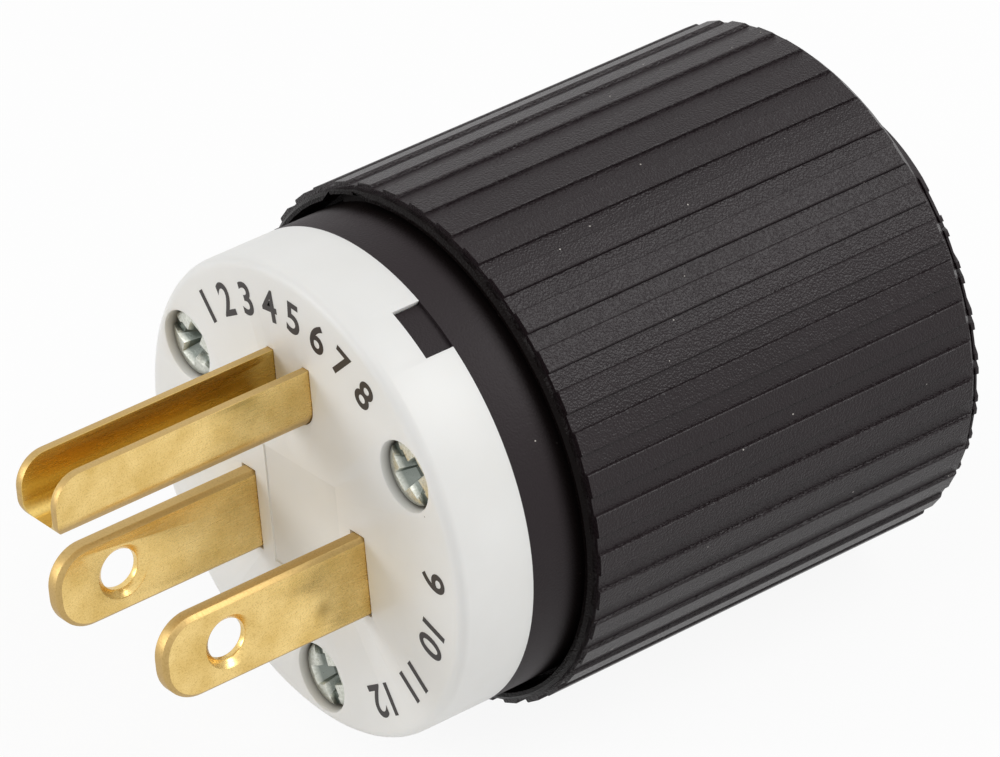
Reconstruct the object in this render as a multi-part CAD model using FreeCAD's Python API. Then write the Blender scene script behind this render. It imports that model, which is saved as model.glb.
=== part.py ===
import FreeCAD, Part
import math
import os

os.makedirs("parts", exist_ok=True)

# Straight-blade grounding plug for rewiring, type B, in millimetres.
# Every piece is modelled with the plug pointing up: the front face lies on Z = 0,
# the blades rise along +Z, the barrel hangs below and the plug's axis is the Z axis.
# The last step lays the whole plug on its ribs, blades toward -Y and ground pin on top.

# Blades, from the plug standard and the photograph
BLADE_PITCH = 12.7
BLADE_WIDTH = 6.35
BLADE_THICK = 1.52
BLADE_LENGTH = 17.1
BLADE_TIP_R = 2.8
BLADE_TIP_BEVEL = 0.32
BLADE_HOLE_R = 1.55
BLADE_HOLE_BEVEL = 0.5
BLADE_HOLE_FROM_FACE = 11.65
BLADE_BELOW_AXIS = 3.14
EAR_WIDTH = 9.6
EAR_SETBACK = 0.2
EAR_LENGTH = 1.4
FOOT_WIDTH = 8.0
FOOT_END = 25.0

# Ground pin: a strip folded into a channel that opens away from the blades
GROUND_FROM_BLADES = 12.1
GROUND_WIDTH = 4.78
GROUND_HEIGHT = 4.8
GROUND_SHEET = 0.68
GROUND_BEND_R = 1.8
GROUND_LENGTH = 21.25
GROUND_TIP_R = 2.3
GROUND_CHIN_R = 1.6
GROUND_LUG_RISE = 1.1
GROUND_STEM = 1.4
GROUND_TAB_WIDTH = 7.0

# Face: the pale moulded front cap
FACE_R = 17.97
FACE_EDGE_R = 0.6
FACE_EDGE_STEPS = 3
FACE_WALL_END = 6.2
FACE_THICK = 4.6
FACE_RIM = 1.17
FACE_PANEL_HALF = 4.2
FACE_PANEL_DEPTH = 0.12
FACE_PANEL_BELOW = 0.4
FACE_PANEL_ABOVE = 2.8
SLOT_CLEAR = 0.06

# Three assembly screws in wells around the face
SCREW_FROM_RIM = 3.42
SCREW_ANGLES = (30.0, 150.0, 270.0)
WELL_CLEAR = 0.2
WELL_MOUTH = 0.2
HEAD_R = 2.4
HEAD_HEIGHT = 2.25
HEAD_CROWN = 0.25
HEAD_SINK = 0.45
SHANK_R = 1.45
SHANK_END = 35.6
SHANK_CLEAR = 0.2
SHANK_ROOM = 0.5
INSERT_R = 2.3
INSERT_BORE_CLEAR = 0.05
INSERT_START = 29.2
INSERT_LENGTH = 6.0
INSERT_WAIST = 1.0
INSERT_NECK = 0.3

# Key: a tab of the terminal body that fills a notch in the face
KEY_ANGLE = 59.0
KEY_WIDTH = 4.15
KEY_NOTCH_START = 3.9
KEY_TAB_SETBACK = 0.32
KEY_CLEAR = 0.08
KEY_ROOT = 0.3

# Terminal body: the dark collar behind the face and the core that carries the terminals
COLLAR_END = 13.0
SOCKET_CLEAR = 0.12
CORE_R = 12.2
CORE_END = 27.0
POCKET_START = 13.9
POCKET_MARGIN = 0.5
POCKET_FIT = 0.05
GUIDE_ANGLE = 110.0
GUIDE_WIDTH = 4.2
GUIDE_CLEAR = 0.25
GUIDE_SETBACK = 1.0

# Terminals: a pressure plate and a screw on each of the three conductors
TERMINAL_FROM_FACE = 20.0
WIRE_GAP = 2.0
PLATE_SIDE = 7.2
PLATE_THICK = 1.2
PLATE_LIP = 0.7
TERM_SHANK_R = 1.7
TERM_HEAD_R = 3.2
TERM_HEAD_HEIGHT = 1.9
TERM_CROWN = 0.5
TERM_REACH = 2.4
TERM_CLEAR = 0.05
TERM_TIP_ROOM = 0.4
DRIVER_SLOT = 0.9
DRIVER_DEPTH = 0.95

# Housing: the ribbed barrel
LIP_START = 10.2
LIP_CLEAR = 0.43
LIP_BAND = 0.6
LIP_WALL = 0.95
LIP_BEVEL = 0.25
LIP_SETBACK = 0.23
RIDGE_HEIGHT = 0.25
RIDGE_COUNT = 40
RIDGE_SHARE = 0.53
RIDGE_PHASE = 4.5
RIDGE_DRAFT = 0.22
REAR_FACE = 45.0
REAR_BEVEL = 0.6
LEDGE_WIDTH = 1.1
LEDGE_CLEAR = 0.1
REAR_WALL = 2.4
KEYWAY_DEPTH = 0.55
KEYWAY_ROUND = 0.45
BOSS_R = 3.2
BOSS_START = 29.2
BOSS_END = 37.5

# Cord clamp: two low jaws on the rear wall, drawn together by two screws
JAW_GAP = 2.0
JAW_SIDE_WALL = 0.65
JAW_SETBACK = 0.55
JAW_LIFT = 0.15
JAW_RIM = 0.3
JAW_HEIGHT = 5.6
JAW_SLOPE = 1.55
JAW_NECK_HALF = 8.0
JAW_NECK_REACH = 10.9
JAW_HOOK_LENGTH = 2.5
JAW_HOOK_THICK = 2.05
JAW_TRAVEL = 0.7
JAW_SIDE_CLEAR = 0.2
JAW_CORNER_R = 1.3
GRIP_PITCH = 10.6
GRIP_SLOT = 0.65
GRIP_SLOT_DEPTH = 0.9
GRIP_HOLLOW = 1.9
GRIP_HOLLOW_DEPTH = 0.15
GRIP_START_R = 14.5
CORD_R = 6.0
CORD_LAND = 4.6
CORD_TOOTH = 0.8
CORD_FLARE = 0.6
CLAMP_SCREW_SIDE = 10.0
CLAMP_SCREW_DEPTH = 2.6
CLAMP_SHANK_R = 1.25
CLAMP_HEAD_R = 2.15
CLAMP_HEAD_HEIGHT = 1.7
CLAMP_HEAD_SEAT = 7.5
CLAMP_SCREW_END = 7.5

# Values that follow from the ones above
BLADE_Y = -BLADE_BELOW_AXIS
GROUND_Y = BLADE_Y + GROUND_FROM_BLADES
GROUND_BASE = GROUND_Y - GROUND_HEIGHT / 2.0
GROUND_TOP = GROUND_Y + GROUND_HEIGHT / 2.0
BLADE_OUT = BLADE_PITCH / 2.0 + BLADE_THICK / 2.0
BLADE_IN = BLADE_PITCH / 2.0 - BLADE_THICK / 2.0
EAR_DEPTH = FACE_THICK + EAR_SETBACK
GROUND_CHANNEL_END = POCKET_START - GROUND_STEM
FACE_SOCKET_R = FACE_R - FACE_RIM
SCREW_CIRCLE_R = FACE_R - SCREW_FROM_RIM
WELL_R = HEAD_R + WELL_CLEAR
KEY_TAB_R = FACE_R - KEY_TAB_SETBACK
KEY_INNER_R = FACE_SOCKET_R - KEY_ROOT
LIP_R = FACE_R + LIP_CLEAR
BARREL_R = LIP_R + LIP_WALL
RIDGE_R = BARREL_R + RIDGE_HEIGHT
KEYWAY_R = LIP_R + KEYWAY_DEPTH
INNER_R = LIP_R - LEDGE_WIDTH
JAW_BASE_R = RIDGE_R - JAW_SETBACK
JAW_HALF_WIDTH = CLAMP_SCREW_SIDE + CLAMP_HEAD_R + SHANK_CLEAR + JAW_SIDE_WALL
JAW_HOOK_REACH = JAW_NECK_REACH + JAW_HOOK_LENGTH
REAR_END = REAR_FACE + JAW_HEIGHT

# How far a cutting tool runs past the piece, and a length beyond every piece
OVER = 1.0
FAR = 60.0


def vec(x, y, z):
    return FreeCAD.Vector(x, y, z)


def polar(radius, degrees):
    angle = math.radians(degrees)
    return radius * math.cos(angle), radius * math.sin(angle)


def box(x0, x1, y0, y1, z0, z1):
    return Part.makeBox(x1 - x0, y1 - y0, z1 - z0, vec(x0, y0, z0))


def rod(radius, z0, z1, x=0.0, y=0.0):
    return Part.makeCylinder(radius, z1 - z0, vec(x, y, z0))


def turned(points):
    """Solid of revolution about Z from (radius, z) points."""
    corners = [vec(r, 0, z) for r, z in points]
    wire = Part.makePolygon(corners + [corners[0]])
    return Part.Face(wire).revolve(vec(0, 0, 0), vec(0, 0, 1), 360)


def prism_x(points, x0, x1):
    """Solid with a (y, z) outline, pushed from x0 to x1."""
    corners = [vec(x0, y, z) for y, z in points]
    wire = Part.makePolygon(corners + [corners[0]])
    return Part.Face(wire).extrude(vec(x1 - x0, 0, 0))


def spun(shape, degrees):
    copy = shape.copy()
    copy.rotate(vec(0, 0, 0), vec(0, 0, 1), degrees)
    return copy


def sector_box(radius0, radius1, width, z0, z1, degrees):
    """Box that lies along the radius at the given angle."""
    return spun(box(radius0, radius1, -width / 2.0, width / 2.0, z0, z1), degrees)


def round_edges(shape, radius, wanted):
    """Fillet the edges whose centre passes the wanted test."""
    edges = [e for e in shape.Edges if wanted(e)]
    return shape.makeFillet(radius, edges)


def upright(edge, direction):
    """True for a straight edge along the given axis."""
    if not isinstance(edge.Curve, Part.Line):
        return False
    return abs(abs(edge.Curve.Direction.dot(direction)) - 1.0) < 1e-6


def crowned_screw(head_r, head_height, crown, shank_r, length):
    """Screw with a crowned slotted head; the head sits on Z = 0 and the shank hangs below."""
    tail = shank_r * 0.35
    body = turned([(0, head_height), (head_r * 0.65, head_height - crown * 0.35),
                   (head_r, head_height - crown * 1.25), (head_r, 0), (shank_r, 0),
                   (shank_r, tail - length), (shank_r - tail, -length), (0, -length)])
    groove = box(-head_r, head_r, -DRIVER_SLOT / 2.0, DRIVER_SLOT / 2.0,
                 head_height - DRIVER_DEPTH, head_height + OVER)
    return body.cut(groove)


def blade(side):
    """Flat blade with a bevelled round tip, a hole, retaining ears and a tapped foot."""
    x0 = side * BLADE_PITCH / 2.0 - BLADE_THICK / 2.0
    x1 = x0 + BLADE_THICK
    half, ear, foot = BLADE_WIDTH / 2.0, EAR_WIDTH / 2.0, FOOT_WIDTH / 2.0
    ear_end = EAR_DEPTH + EAR_LENGTH
    outline = [(-half, BLADE_LENGTH), (half, BLADE_LENGTH), (half, -EAR_DEPTH), (ear, -EAR_DEPTH),
               (ear, -ear_end), (foot, -ear_end), (foot, -FOOT_END), (-foot, -FOOT_END),
               (-foot, -ear_end), (-ear, -ear_end), (-ear, -EAR_DEPTH), (-half, -EAR_DEPTH)]
    body = prism_x([(BLADE_Y + y, z) for y, z in outline], x0, x1)
    body = round_edges(body, BLADE_TIP_R, lambda e: upright(e, vec(1, 0, 0))
                       and e.CenterOfMass.z > BLADE_LENGTH - 0.1)
    rim = [e for e in body.Edges if e.BoundBox.ZMin > BLADE_LENGTH - BLADE_TIP_R - 0.01
           and e.BoundBox.XLength < 0.01]
    body = body.makeChamfer(BLADE_TIP_BEVEL, rim)
    hole = Part.makeCylinder(BLADE_HOLE_R, BLADE_THICK, vec(x0, BLADE_Y, BLADE_HOLE_FROM_FACE), vec(1, 0, 0))
    wide = BLADE_HOLE_R + BLADE_HOLE_BEVEL
    near = Part.makeCone(wide, BLADE_HOLE_R, BLADE_HOLE_BEVEL,
                         vec(x0, BLADE_Y, BLADE_HOLE_FROM_FACE), vec(1, 0, 0))
    off = Part.makeCone(wide, BLADE_HOLE_R, BLADE_HOLE_BEVEL,
                        vec(x1, BLADE_Y, BLADE_HOLE_FROM_FACE), vec(-1, 0, 0))
    tapped = Part.makeCylinder(TERM_SHANK_R + TERM_CLEAR, BLADE_THICK,
                               vec(x0, BLADE_Y, -TERMINAL_FROM_FACE), vec(1, 0, 0))
    return body.cut(hole.fuse([near, off, tapped]))


def channel_face(grow, z):
    """Folded section of the ground pin, grown by a clearance, as a face at height z."""
    half = GROUND_WIDTH / 2.0
    outer_r, inner_r = GROUND_BEND_R + grow, GROUND_BEND_R - GROUND_SHEET - grow
    x_out, x_in = half + grow, half - GROUND_SHEET - grow
    y_out, y_in = GROUND_BASE - grow, GROUND_BASE + GROUND_SHEET + grow
    y_top = GROUND_TOP + grow
    bend_x, bend_y = half - GROUND_BEND_R, GROUND_BASE + GROUND_BEND_R
    c45 = math.sqrt(0.5)

    def arc(sign, radius):
        ends = [vec(sign * (bend_x + radius), bend_y, z),
                vec(sign * (bend_x + radius * c45), bend_y - radius * c45, z),
                vec(sign * bend_x, bend_y - radius, z)]
        return Part.Arc(*ends).toShape()

    def line(x0, y0, x1, y1):
        return Part.makeLine(vec(x0, y0, z), vec(x1, y1, z))

    edges = [line(x_out, y_top, x_out, bend_y), arc(1, outer_r), line(bend_x, y_out, -bend_x, y_out),
             arc(-1, outer_r), line(-x_out, bend_y, -x_out, y_top), line(-x_out, y_top, -x_in, y_top),
             line(-x_in, y_top, -x_in, bend_y), arc(-1, inner_r), line(-bend_x, y_in, bend_x, y_in),
             arc(1, inner_r), line(x_in, bend_y, x_in, y_top), line(x_in, y_top, x_out, y_top)]
    return Part.Face(Part.Wire(Part.__sortEdges__(edges)))


def ground_pin():
    """Folded channel with rounded leg tips, retaining lugs and a flat terminal tab."""
    channel = channel_face(0.0, -GROUND_CHANNEL_END).extrude(vec(0, 0, GROUND_LENGTH + GROUND_CHANNEL_END))
    half = GROUND_WIDTH / 2.0
    # side view that trims the tips: round on top, with a smaller chin that draws the fold back below
    side = box(-half, half, GROUND_BASE, GROUND_TOP + GROUND_LUG_RISE, -GROUND_CHANNEL_END, GROUND_LENGTH)
    blunt = box(-half, half, GROUND_BASE, GROUND_TOP, -GROUND_CHANNEL_END, GROUND_LENGTH)
    blunt = round_edges(blunt, GROUND_TIP_R, lambda e: upright(e, vec(1, 0, 0))
                        and e.CenterOfMass.z > GROUND_LENGTH - 0.1 and e.CenterOfMass.y > GROUND_Y)
    blunt = round_edges(blunt, GROUND_CHIN_R, lambda e: upright(e, vec(1, 0, 0))
                        and e.CenterOfMass.z > GROUND_LENGTH - 0.1 and e.CenterOfMass.y < GROUND_Y)
    channel = channel.common(side).common(blunt)
    lug_end = EAR_DEPTH + EAR_LENGTH
    lugs = [box(s * half - (GROUND_SHEET if s > 0 else 0.0), s * half + (0.0 if s > 0 else GROUND_SHEET),
                GROUND_TOP - 0.5, GROUND_TOP + GROUND_LUG_RISE, -lug_end, -EAR_DEPTH) for s in (-1, 1)]
    wide = GROUND_TAB_WIDTH / 2.0
    tab = box(-wide, wide, GROUND_BASE, GROUND_BASE + GROUND_SHEET, -FOOT_END, -POCKET_START)
    stem = box(-half + GROUND_BEND_R, half - GROUND_BEND_R, GROUND_BASE, GROUND_BASE + GROUND_SHEET,
               -POCKET_START, -GROUND_CHANNEL_END)
    body = channel.fuse(lugs + [stem, tab]).removeSplitter()
    tapped = Part.makeCylinder(TERM_SHANK_R + TERM_CLEAR, GROUND_SHEET,
                               vec(0, GROUND_BASE, -TERMINAL_FROM_FACE), vec(0, 1, 0))
    return body.cut(tapped)


def blade_slot(side, width, z0, z1):
    """Slot for a blade of the given width, with the running clearance."""
    x0 = side * BLADE_PITCH / 2.0 - BLADE_THICK / 2.0 - SLOT_CLEAR
    half = width / 2.0 + SLOT_CLEAR
    return box(x0, x0 + BLADE_THICK + 2 * SLOT_CLEAR, BLADE_Y - half, BLADE_Y + half, z0, z1)


def face():
    """Front cap: slots for the blades, wells for the screws, a key notch and a hollow back."""
    rim = []
    for step in range(FACE_EDGE_STEPS + 1):
        out, up = polar(FACE_EDGE_R, 90.0 * step / FACE_EDGE_STEPS)
        rim.append((FACE_R - FACE_EDGE_R + out, up - FACE_EDGE_R))
    body = turned([(0, 0), (0, -FACE_THICK), (FACE_SOCKET_R, -FACE_THICK),
                   (FACE_SOCKET_R, -FACE_WALL_END), (FACE_R, -FACE_WALL_END)] + rim)
    cuts = [blade_slot(s, BLADE_WIDTH, -FAR, OVER) for s in (-1, 1)]
    cuts.append(channel_face(SLOT_CLEAR, -FAR).extrude(vec(0, 0, FAR + OVER)))
    # shallow plain panel between the blades
    cuts.append(box(-FACE_PANEL_HALF, FACE_PANEL_HALF, BLADE_Y - BLADE_WIDTH / 2.0 - FACE_PANEL_BELOW,
                    BLADE_Y + BLADE_WIDTH / 2.0 + FACE_PANEL_ABOVE, -FACE_PANEL_DEPTH, OVER))
    seat = HEAD_SINK + HEAD_HEIGHT
    for angle in SCREW_ANGLES:
        x, y = polar(SCREW_CIRCLE_R, angle)
        cuts.append(rod(WELL_R, -seat, OVER, x, y))
        cuts.append(Part.makeCone(WELL_R, WELL_R + WELL_MOUTH, WELL_MOUTH, vec(x, y, -WELL_MOUTH)))
        cuts.append(rod(SHANK_R + SHANK_CLEAR, -FAR, 0.0, x, y))
    cuts.append(sector_box(KEY_INNER_R, FACE_R + OVER, KEY_WIDTH, -FAR, -KEY_NOTCH_START, KEY_ANGLE))
    return body.cut(cuts)


def pocket_side(side):
    """Open pocket beside the core for one blade foot and its terminal."""
    inner = BLADE_IN - POCKET_FIT
    half = max(FOOT_WIDTH, PLATE_SIDE) / 2.0 + POCKET_MARGIN
    x0, x1 = (inner, FAR) if side > 0 else (-FAR, -inner)
    return box(x0, x1, BLADE_Y - half, BLADE_Y + half, -FAR, -POCKET_START)


def terminal_body():
    """Collar with key tab, and the core with three open terminal pockets."""
    boss_r = FACE_SOCKET_R - SOCKET_CLEAR
    front = FACE_THICK + SOCKET_CLEAR
    body = turned([(0, -front), (boss_r, -front), (boss_r, -FACE_WALL_END), (FACE_R, -FACE_WALL_END),
                   (FACE_R, -COLLAR_END), (CORE_R, -COLLAR_END), (CORE_R, -CORE_END), (0, -CORE_END)])
    tab = sector_box(KEY_INNER_R + KEY_CLEAR, FAR, KEY_WIDTH - 2 * KEY_CLEAR, -FACE_WALL_END - OVER,
                     -KEY_NOTCH_START - KEY_CLEAR, KEY_ANGLE)
    body = body.fuse(tab.common(rod(KEY_TAB_R, -FAR, 0.0)))
    guide = sector_box(FACE_R - OVER, FAR, GUIDE_WIDTH - 2 * GUIDE_CLEAR, -COLLAR_END,
                       -LIP_START - GUIDE_SETBACK, GUIDE_ANGLE)
    body = body.fuse(guide.common(rod(KEYWAY_R - GUIDE_CLEAR, -FAR, 0.0)))
    cuts = [pocket_side(s) for s in (-1, 1)]
    ear_end = EAR_DEPTH + EAR_LENGTH
    for s in (-1, 1):
        cuts.append(blade_slot(s, FOOT_WIDTH, -FAR, 0.0))
        cuts.append(blade_slot(s, EAR_WIDTH, -ear_end - SLOT_CLEAR, 0.0))
    # ground: the folded channel, a seat for its lugs, and an open pocket for the tab
    cuts.append(channel_face(SLOT_CLEAR, -FAR).extrude(vec(0, 0, FAR)))
    half = GROUND_WIDTH / 2.0 + SLOT_CLEAR
    cuts.append(box(-half, half, GROUND_Y, GROUND_TOP + GROUND_LUG_RISE + SLOT_CLEAR,
                    -ear_end - SLOT_CLEAR, 0.0))
    wide = max(GROUND_TAB_WIDTH, PLATE_SIDE) / 2.0 + POCKET_MARGIN
    cuts.append(box(-wide, wide, GROUND_BASE - POCKET_FIT, FAR, -FAR, -POCKET_START))
    # blind holes for the terminal screw ends
    hole_r = TERM_SHANK_R + SHANK_CLEAR
    deep = TERM_REACH + BLADE_THICK + TERM_TIP_ROOM
    for s in (-1, 1):
        cuts.append(Part.makeCylinder(hole_r, deep, vec(s * BLADE_OUT, BLADE_Y, -TERMINAL_FROM_FACE),
                                      vec(-s, 0, 0)))
    cuts.append(Part.makeCylinder(hole_r, deep, vec(0, GROUND_BASE + GROUND_SHEET, -TERMINAL_FROM_FACE),
                                  vec(0, -1, 0)))
    for angle in SCREW_ANGLES:
        x, y = polar(SCREW_CIRCLE_R, angle)
        cuts.append(rod(SHANK_R + SHANK_CLEAR, -FAR, 0.0, x, y))
    return body.cut(cuts).removeSplitter()


def terminal_place(name):
    """Position and outward direction of one terminal, on the outer face of its conductor."""
    z = -TERMINAL_FROM_FACE
    if name == "ground":
        return vec(0, GROUND_BASE + GROUND_SHEET, z), vec(0, 1, 0)
    side = 1 if name == "neutral" else -1
    return vec(side * BLADE_OUT, BLADE_Y, z), vec(side, 0, 0)


def put(shape, point, direction):
    """Stand a shape built along +Z on a point, along a direction."""
    turn = FreeCAD.Rotation(vec(0, 0, 1), direction)
    placed = shape.copy()
    placed.Placement = FreeCAD.Placement(point, turn).multiply(shape.Placement)
    return placed


def pressure_plate(name):
    """Square plate with two lips that hold the strands under the screw."""
    point, out = terminal_place(name)
    half = PLATE_SIDE / 2.0
    plate = box(-half, half, -half, half, WIRE_GAP, WIRE_GAP + PLATE_THICK)
    lips = []
    for s in (-1, 1):
        near = half - PLATE_THICK * 0.6
        x0, x1 = (near, half) if s > 0 else (-half, -near)
        y0, y1 = -half, half
        if name == "ground":
            lips.append(box(x0, x1, y0, y1, WIRE_GAP - PLATE_LIP, WIRE_GAP))
        else:
            lips.append(box(y0, y1, x0, x1, WIRE_GAP - PLATE_LIP, WIRE_GAP))
    plate = plate.fuse(lips).removeSplitter()
    plate = plate.cut(rod(TERM_SHANK_R + TERM_CLEAR, 0.0, FAR))
    return put(plate, point, out)


def terminal_screw(name):
    point, out = terminal_place(name)
    seat = WIRE_GAP + PLATE_THICK
    thick = GROUND_SHEET if name == "ground" else BLADE_THICK
    screw = crowned_screw(TERM_HEAD_R, TERM_HEAD_HEIGHT, TERM_CROWN, TERM_SHANK_R, seat + thick + TERM_REACH)
    screw.translate(vec(0, 0, seat))
    return put(screw, point, out)


def assembly_screw(angle):
    """Long screw from a well in the face to the insert in the housing."""
    seat = HEAD_SINK + HEAD_HEIGHT
    screw = crowned_screw(HEAD_R, HEAD_HEIGHT, HEAD_CROWN, SHANK_R, SHANK_END - seat)
    # second groove, so that a cross driver fits too
    arm = HEAD_R * 0.62
    screw = screw.cut(box(-DRIVER_SLOT / 2.0, DRIVER_SLOT / 2.0, -arm, arm,
                          HEAD_HEIGHT - DRIVER_DEPTH, HEAD_HEIGHT + OVER))
    screw.rotate(vec(0, 0, 0), vec(0, 0, 1), angle + 45.0)
    x, y = polar(SCREW_CIRCLE_R, angle)
    screw.translate(vec(x, y, -seat))
    return screw


def threaded_insert(angle):
    x, y = polar(SCREW_CIRCLE_R, angle)
    start, end = -INSERT_START, -INSERT_START - INSERT_LENGTH
    sleeve = rod(INSERT_R, end, start, x, y)
    waist = (start + end) / 2.0
    half = INSERT_WAIST / 2.0
    groove = rod(INSERT_R + OVER, waist - half, waist + half, x, y)
    sleeve = sleeve.cut(groove.cut(rod(INSERT_R - INSERT_NECK, -FAR, 0.0, x, y)))
    return sleeve.cut(rod(SHANK_R + INSERT_BORE_CLEAR, -FAR, 0.0, x, y))


def ridge_prism(z0, z1):
    """Ribbed section of the barrel: flat-topped ridges with square flanks, pushed from z0 to z1."""
    pitch = 360.0 / RIDGE_COUNT
    top = pitch * RIDGE_SHARE
    corners = []

    def point(radius, degrees):
        x, y = polar(radius, degrees)
        return vec(x, y, z0)

    for k in range(RIDGE_COUNT):
        a0 = RIDGE_PHASE + k * pitch - top / 2.0
        a1 = a0 + top
        g0, g1 = a1 + RIDGE_DRAFT, a0 + pitch - RIDGE_DRAFT
        corners += [point(RIDGE_R, a0), point(RIDGE_R, a1), point(BARREL_R, g0), point(BARREL_R, g1)]
    wire = Part.makePolygon(corners + [corners[0]])
    return Part.Face(wire).extrude(vec(0, 0, z1 - z0))


def housing():
    """Ribbed barrel with a thin lip, screw bosses and a slotted rear wall."""
    start = -LIP_START - LIP_BAND
    envelope = turned([(0, 0), (RIDGE_R + OVER, 0), (RIDGE_R + OVER, -REAR_FACE + REAR_BEVEL + OVER),
                       (RIDGE_R - REAR_BEVEL, -REAR_FACE), (0, -REAR_FACE)])
    shell = ridge_prism(-REAR_FACE, start).common(envelope)
    band = BARREL_R - LIP_SETBACK
    shell = shell.fuse(turned([(0, start), (band, start), (band, -LIP_START - LIP_BEVEL),
                               (band - LIP_BEVEL, -LIP_START), (0, -LIP_START)]))
    ledge = -COLLAR_END - LEDGE_CLEAR
    mouth = LIP_R + LIP_BEVEL
    hollow = turned([(0, OVER), (mouth, OVER), (mouth, -LIP_START), (LIP_R, -LIP_START - LIP_BEVEL),
                     (LIP_R, ledge), (INNER_R, ledge), (INNER_R, -REAR_FACE + REAR_WALL),
                     (0, -REAR_FACE + REAR_WALL)])
    shell = shell.cut(hollow)
    bosses = []
    holes = []
    for angle in SCREW_ANGLES:
        x, y = polar(SCREW_CIRCLE_R, angle)
        bosses.append(rod(BOSS_R, -BOSS_END, -BOSS_START, x, y))
        holes.append(rod(INSERT_R, -INSERT_START - INSERT_LENGTH, -BOSS_START + OVER, x, y))
        holes.append(rod(SHANK_R + SHANK_CLEAR, -SHANK_END - SHANK_ROOM, -BOSS_START, x, y))
    shell = shell.fuse(bosses).removeSplitter()
    # keyway for the guide rib of the terminal body, arched on top
    way = sector_box(LIP_R - OVER, KEYWAY_R, GUIDE_WIDTH, ledge, 0.0, GUIDE_ANGLE)
    middle = math.radians(GUIDE_ANGLE)
    way = round_edges(way, KEYWAY_ROUND, lambda e: upright(e, vec(0, 0, 1))
                      and e.CenterOfMass.dot(vec(math.cos(middle), math.sin(middle), 0)) > LIP_R)
    holes.append(way)
    reach = JAW_NECK_REACH + JAW_TRAVEL
    side = JAW_NECK_HALF + JAW_SIDE_CLEAR
    slot = box(-reach, reach, -side, side, -REAR_FACE - OVER, -REAR_FACE + REAR_WALL + OVER)
    holes.append(round_edges(slot, JAW_CORNER_R + JAW_SIDE_CLEAR, lambda e: upright(e, vec(0, 0, 1))))
    return shell.cut(holes).removeSplitter()


def jaw_blank():
    """Right jaw without screw holes: cone-backed block, grip slots, neck, hook and half the cord hole."""
    top = -REAR_FACE - JAW_LIFT
    rim = top - JAW_RIM
    end_r = JAW_BASE_R - JAW_SLOPE * (JAW_HEIGHT - JAW_LIFT - JAW_RIM)
    split = JAW_GAP / 2.0
    dome = turned([(0, top), (JAW_BASE_R, top), (JAW_BASE_R, rim), (end_r, -REAR_END), (0, -REAR_END)])
    block = dome.common(box(split, FAR, -JAW_HALF_WIDTH, JAW_HALF_WIDTH, -FAR, 0.0))
    # the outer skin of the cone, as deep as the grip slots or the hollows between them
    run = math.hypot(JAW_SLOPE, 1.0)

    def skin(depth):
        dr, dz = depth / run, depth * JAW_SLOPE / run
        return turned([(JAW_BASE_R + OVER, top + OVER), (JAW_BASE_R - depth, top + OVER),
                       (JAW_BASE_R - dr, rim + dz), (end_r - dr, -REAR_END + dz),
                       (end_r, -REAR_END - OVER), (JAW_BASE_R + OVER, -REAR_END - OVER)])

    slots = []
    hollows = []
    for k in range(-3, 4):
        slots.append(sector_box(GRIP_START_R, FAR, GRIP_SLOT, -FAR, 0.0, k * GRIP_PITCH))
    for k in range(-4, 4):
        hollows.append(sector_box(GRIP_START_R, FAR, GRIP_HOLLOW, -FAR, 0.0, (k + 0.5) * GRIP_PITCH))
    block = block.cut(skin(GRIP_SLOT_DEPTH).common(Part.makeCompound(slots)))
    block = block.cut(skin(GRIP_HOLLOW_DEPTH).common(Part.makeCompound(hollows)))

    def outer_corner(edge):
        return upright(edge, vec(0, 0, 1)) and edge.CenterOfMass.x > split + OVER

    inner = -REAR_FACE + REAR_WALL
    hook_top = inner + JAW_LIFT + JAW_HOOK_THICK
    neck = box(split, JAW_NECK_REACH, -JAW_NECK_HALF, JAW_NECK_HALF, top, hook_top)
    neck = round_edges(neck, JAW_CORNER_R, outer_corner)
    hook = box(split, JAW_HOOK_REACH, -JAW_NECK_HALF, JAW_NECK_HALF, inner + JAW_LIFT, hook_top)
    hook = round_edges(hook, JAW_CORNER_R, outer_corner)
    block = block.fuse([neck, hook]).removeSplitter()
    # cord hole: a plain land at the rear, then teeth, then a flare toward the wires
    land = -REAR_END + CORD_LAND
    bore = [(0, -REAR_END - OVER), (CORD_R + CORD_FLARE, -REAR_END - OVER), (CORD_R + CORD_FLARE, -REAR_END),
            (CORD_R, -REAR_END + CORD_FLARE), (CORD_R, land)]
    step = (hook_top - land) / 7.0
    for k in range(3):
        bore.append((CORD_R + CORD_TOOTH, land + (2 * k + 1) * step))
        bore.append((CORD_R, land + (2 * k + 2) * step))
    bore += [(CORD_R + CORD_TOOTH, hook_top), (CORD_R + CORD_TOOTH, hook_top + OVER), (0, hook_top + OVER)]
    return block.cut(turned(bore))


def along_x(radius, x0, x1, y):
    return Part.makeCylinder(radius, x1 - x0, vec(x0, y, -REAR_FACE - CLAMP_SCREW_DEPTH), vec(1, 0, 0))


def jaw_right(blank):
    """Jaw that takes the threads of the clamp screws."""
    deep = CLAMP_SCREW_END + SHANK_ROOM
    return blank.cut([along_x(CLAMP_SHANK_R + TERM_CLEAR, 0.0, deep, s * CLAMP_SCREW_SIDE) for s in (-1, 1)])


def jaw_left(blank):
    """Jaw with the clearance holes and the seats of the clamp screw heads."""
    body = spun(blank, 180.0)
    holes = []
    for s in (-1, 1):
        holes.append(along_x(CLAMP_SHANK_R + SHANK_CLEAR, -FAR, 0.0, s * CLAMP_SCREW_SIDE))
        holes.append(along_x(CLAMP_HEAD_R + SHANK_CLEAR, -FAR, -CLAMP_HEAD_SEAT, s * CLAMP_SCREW_SIDE))
    return body.cut(holes)


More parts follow.
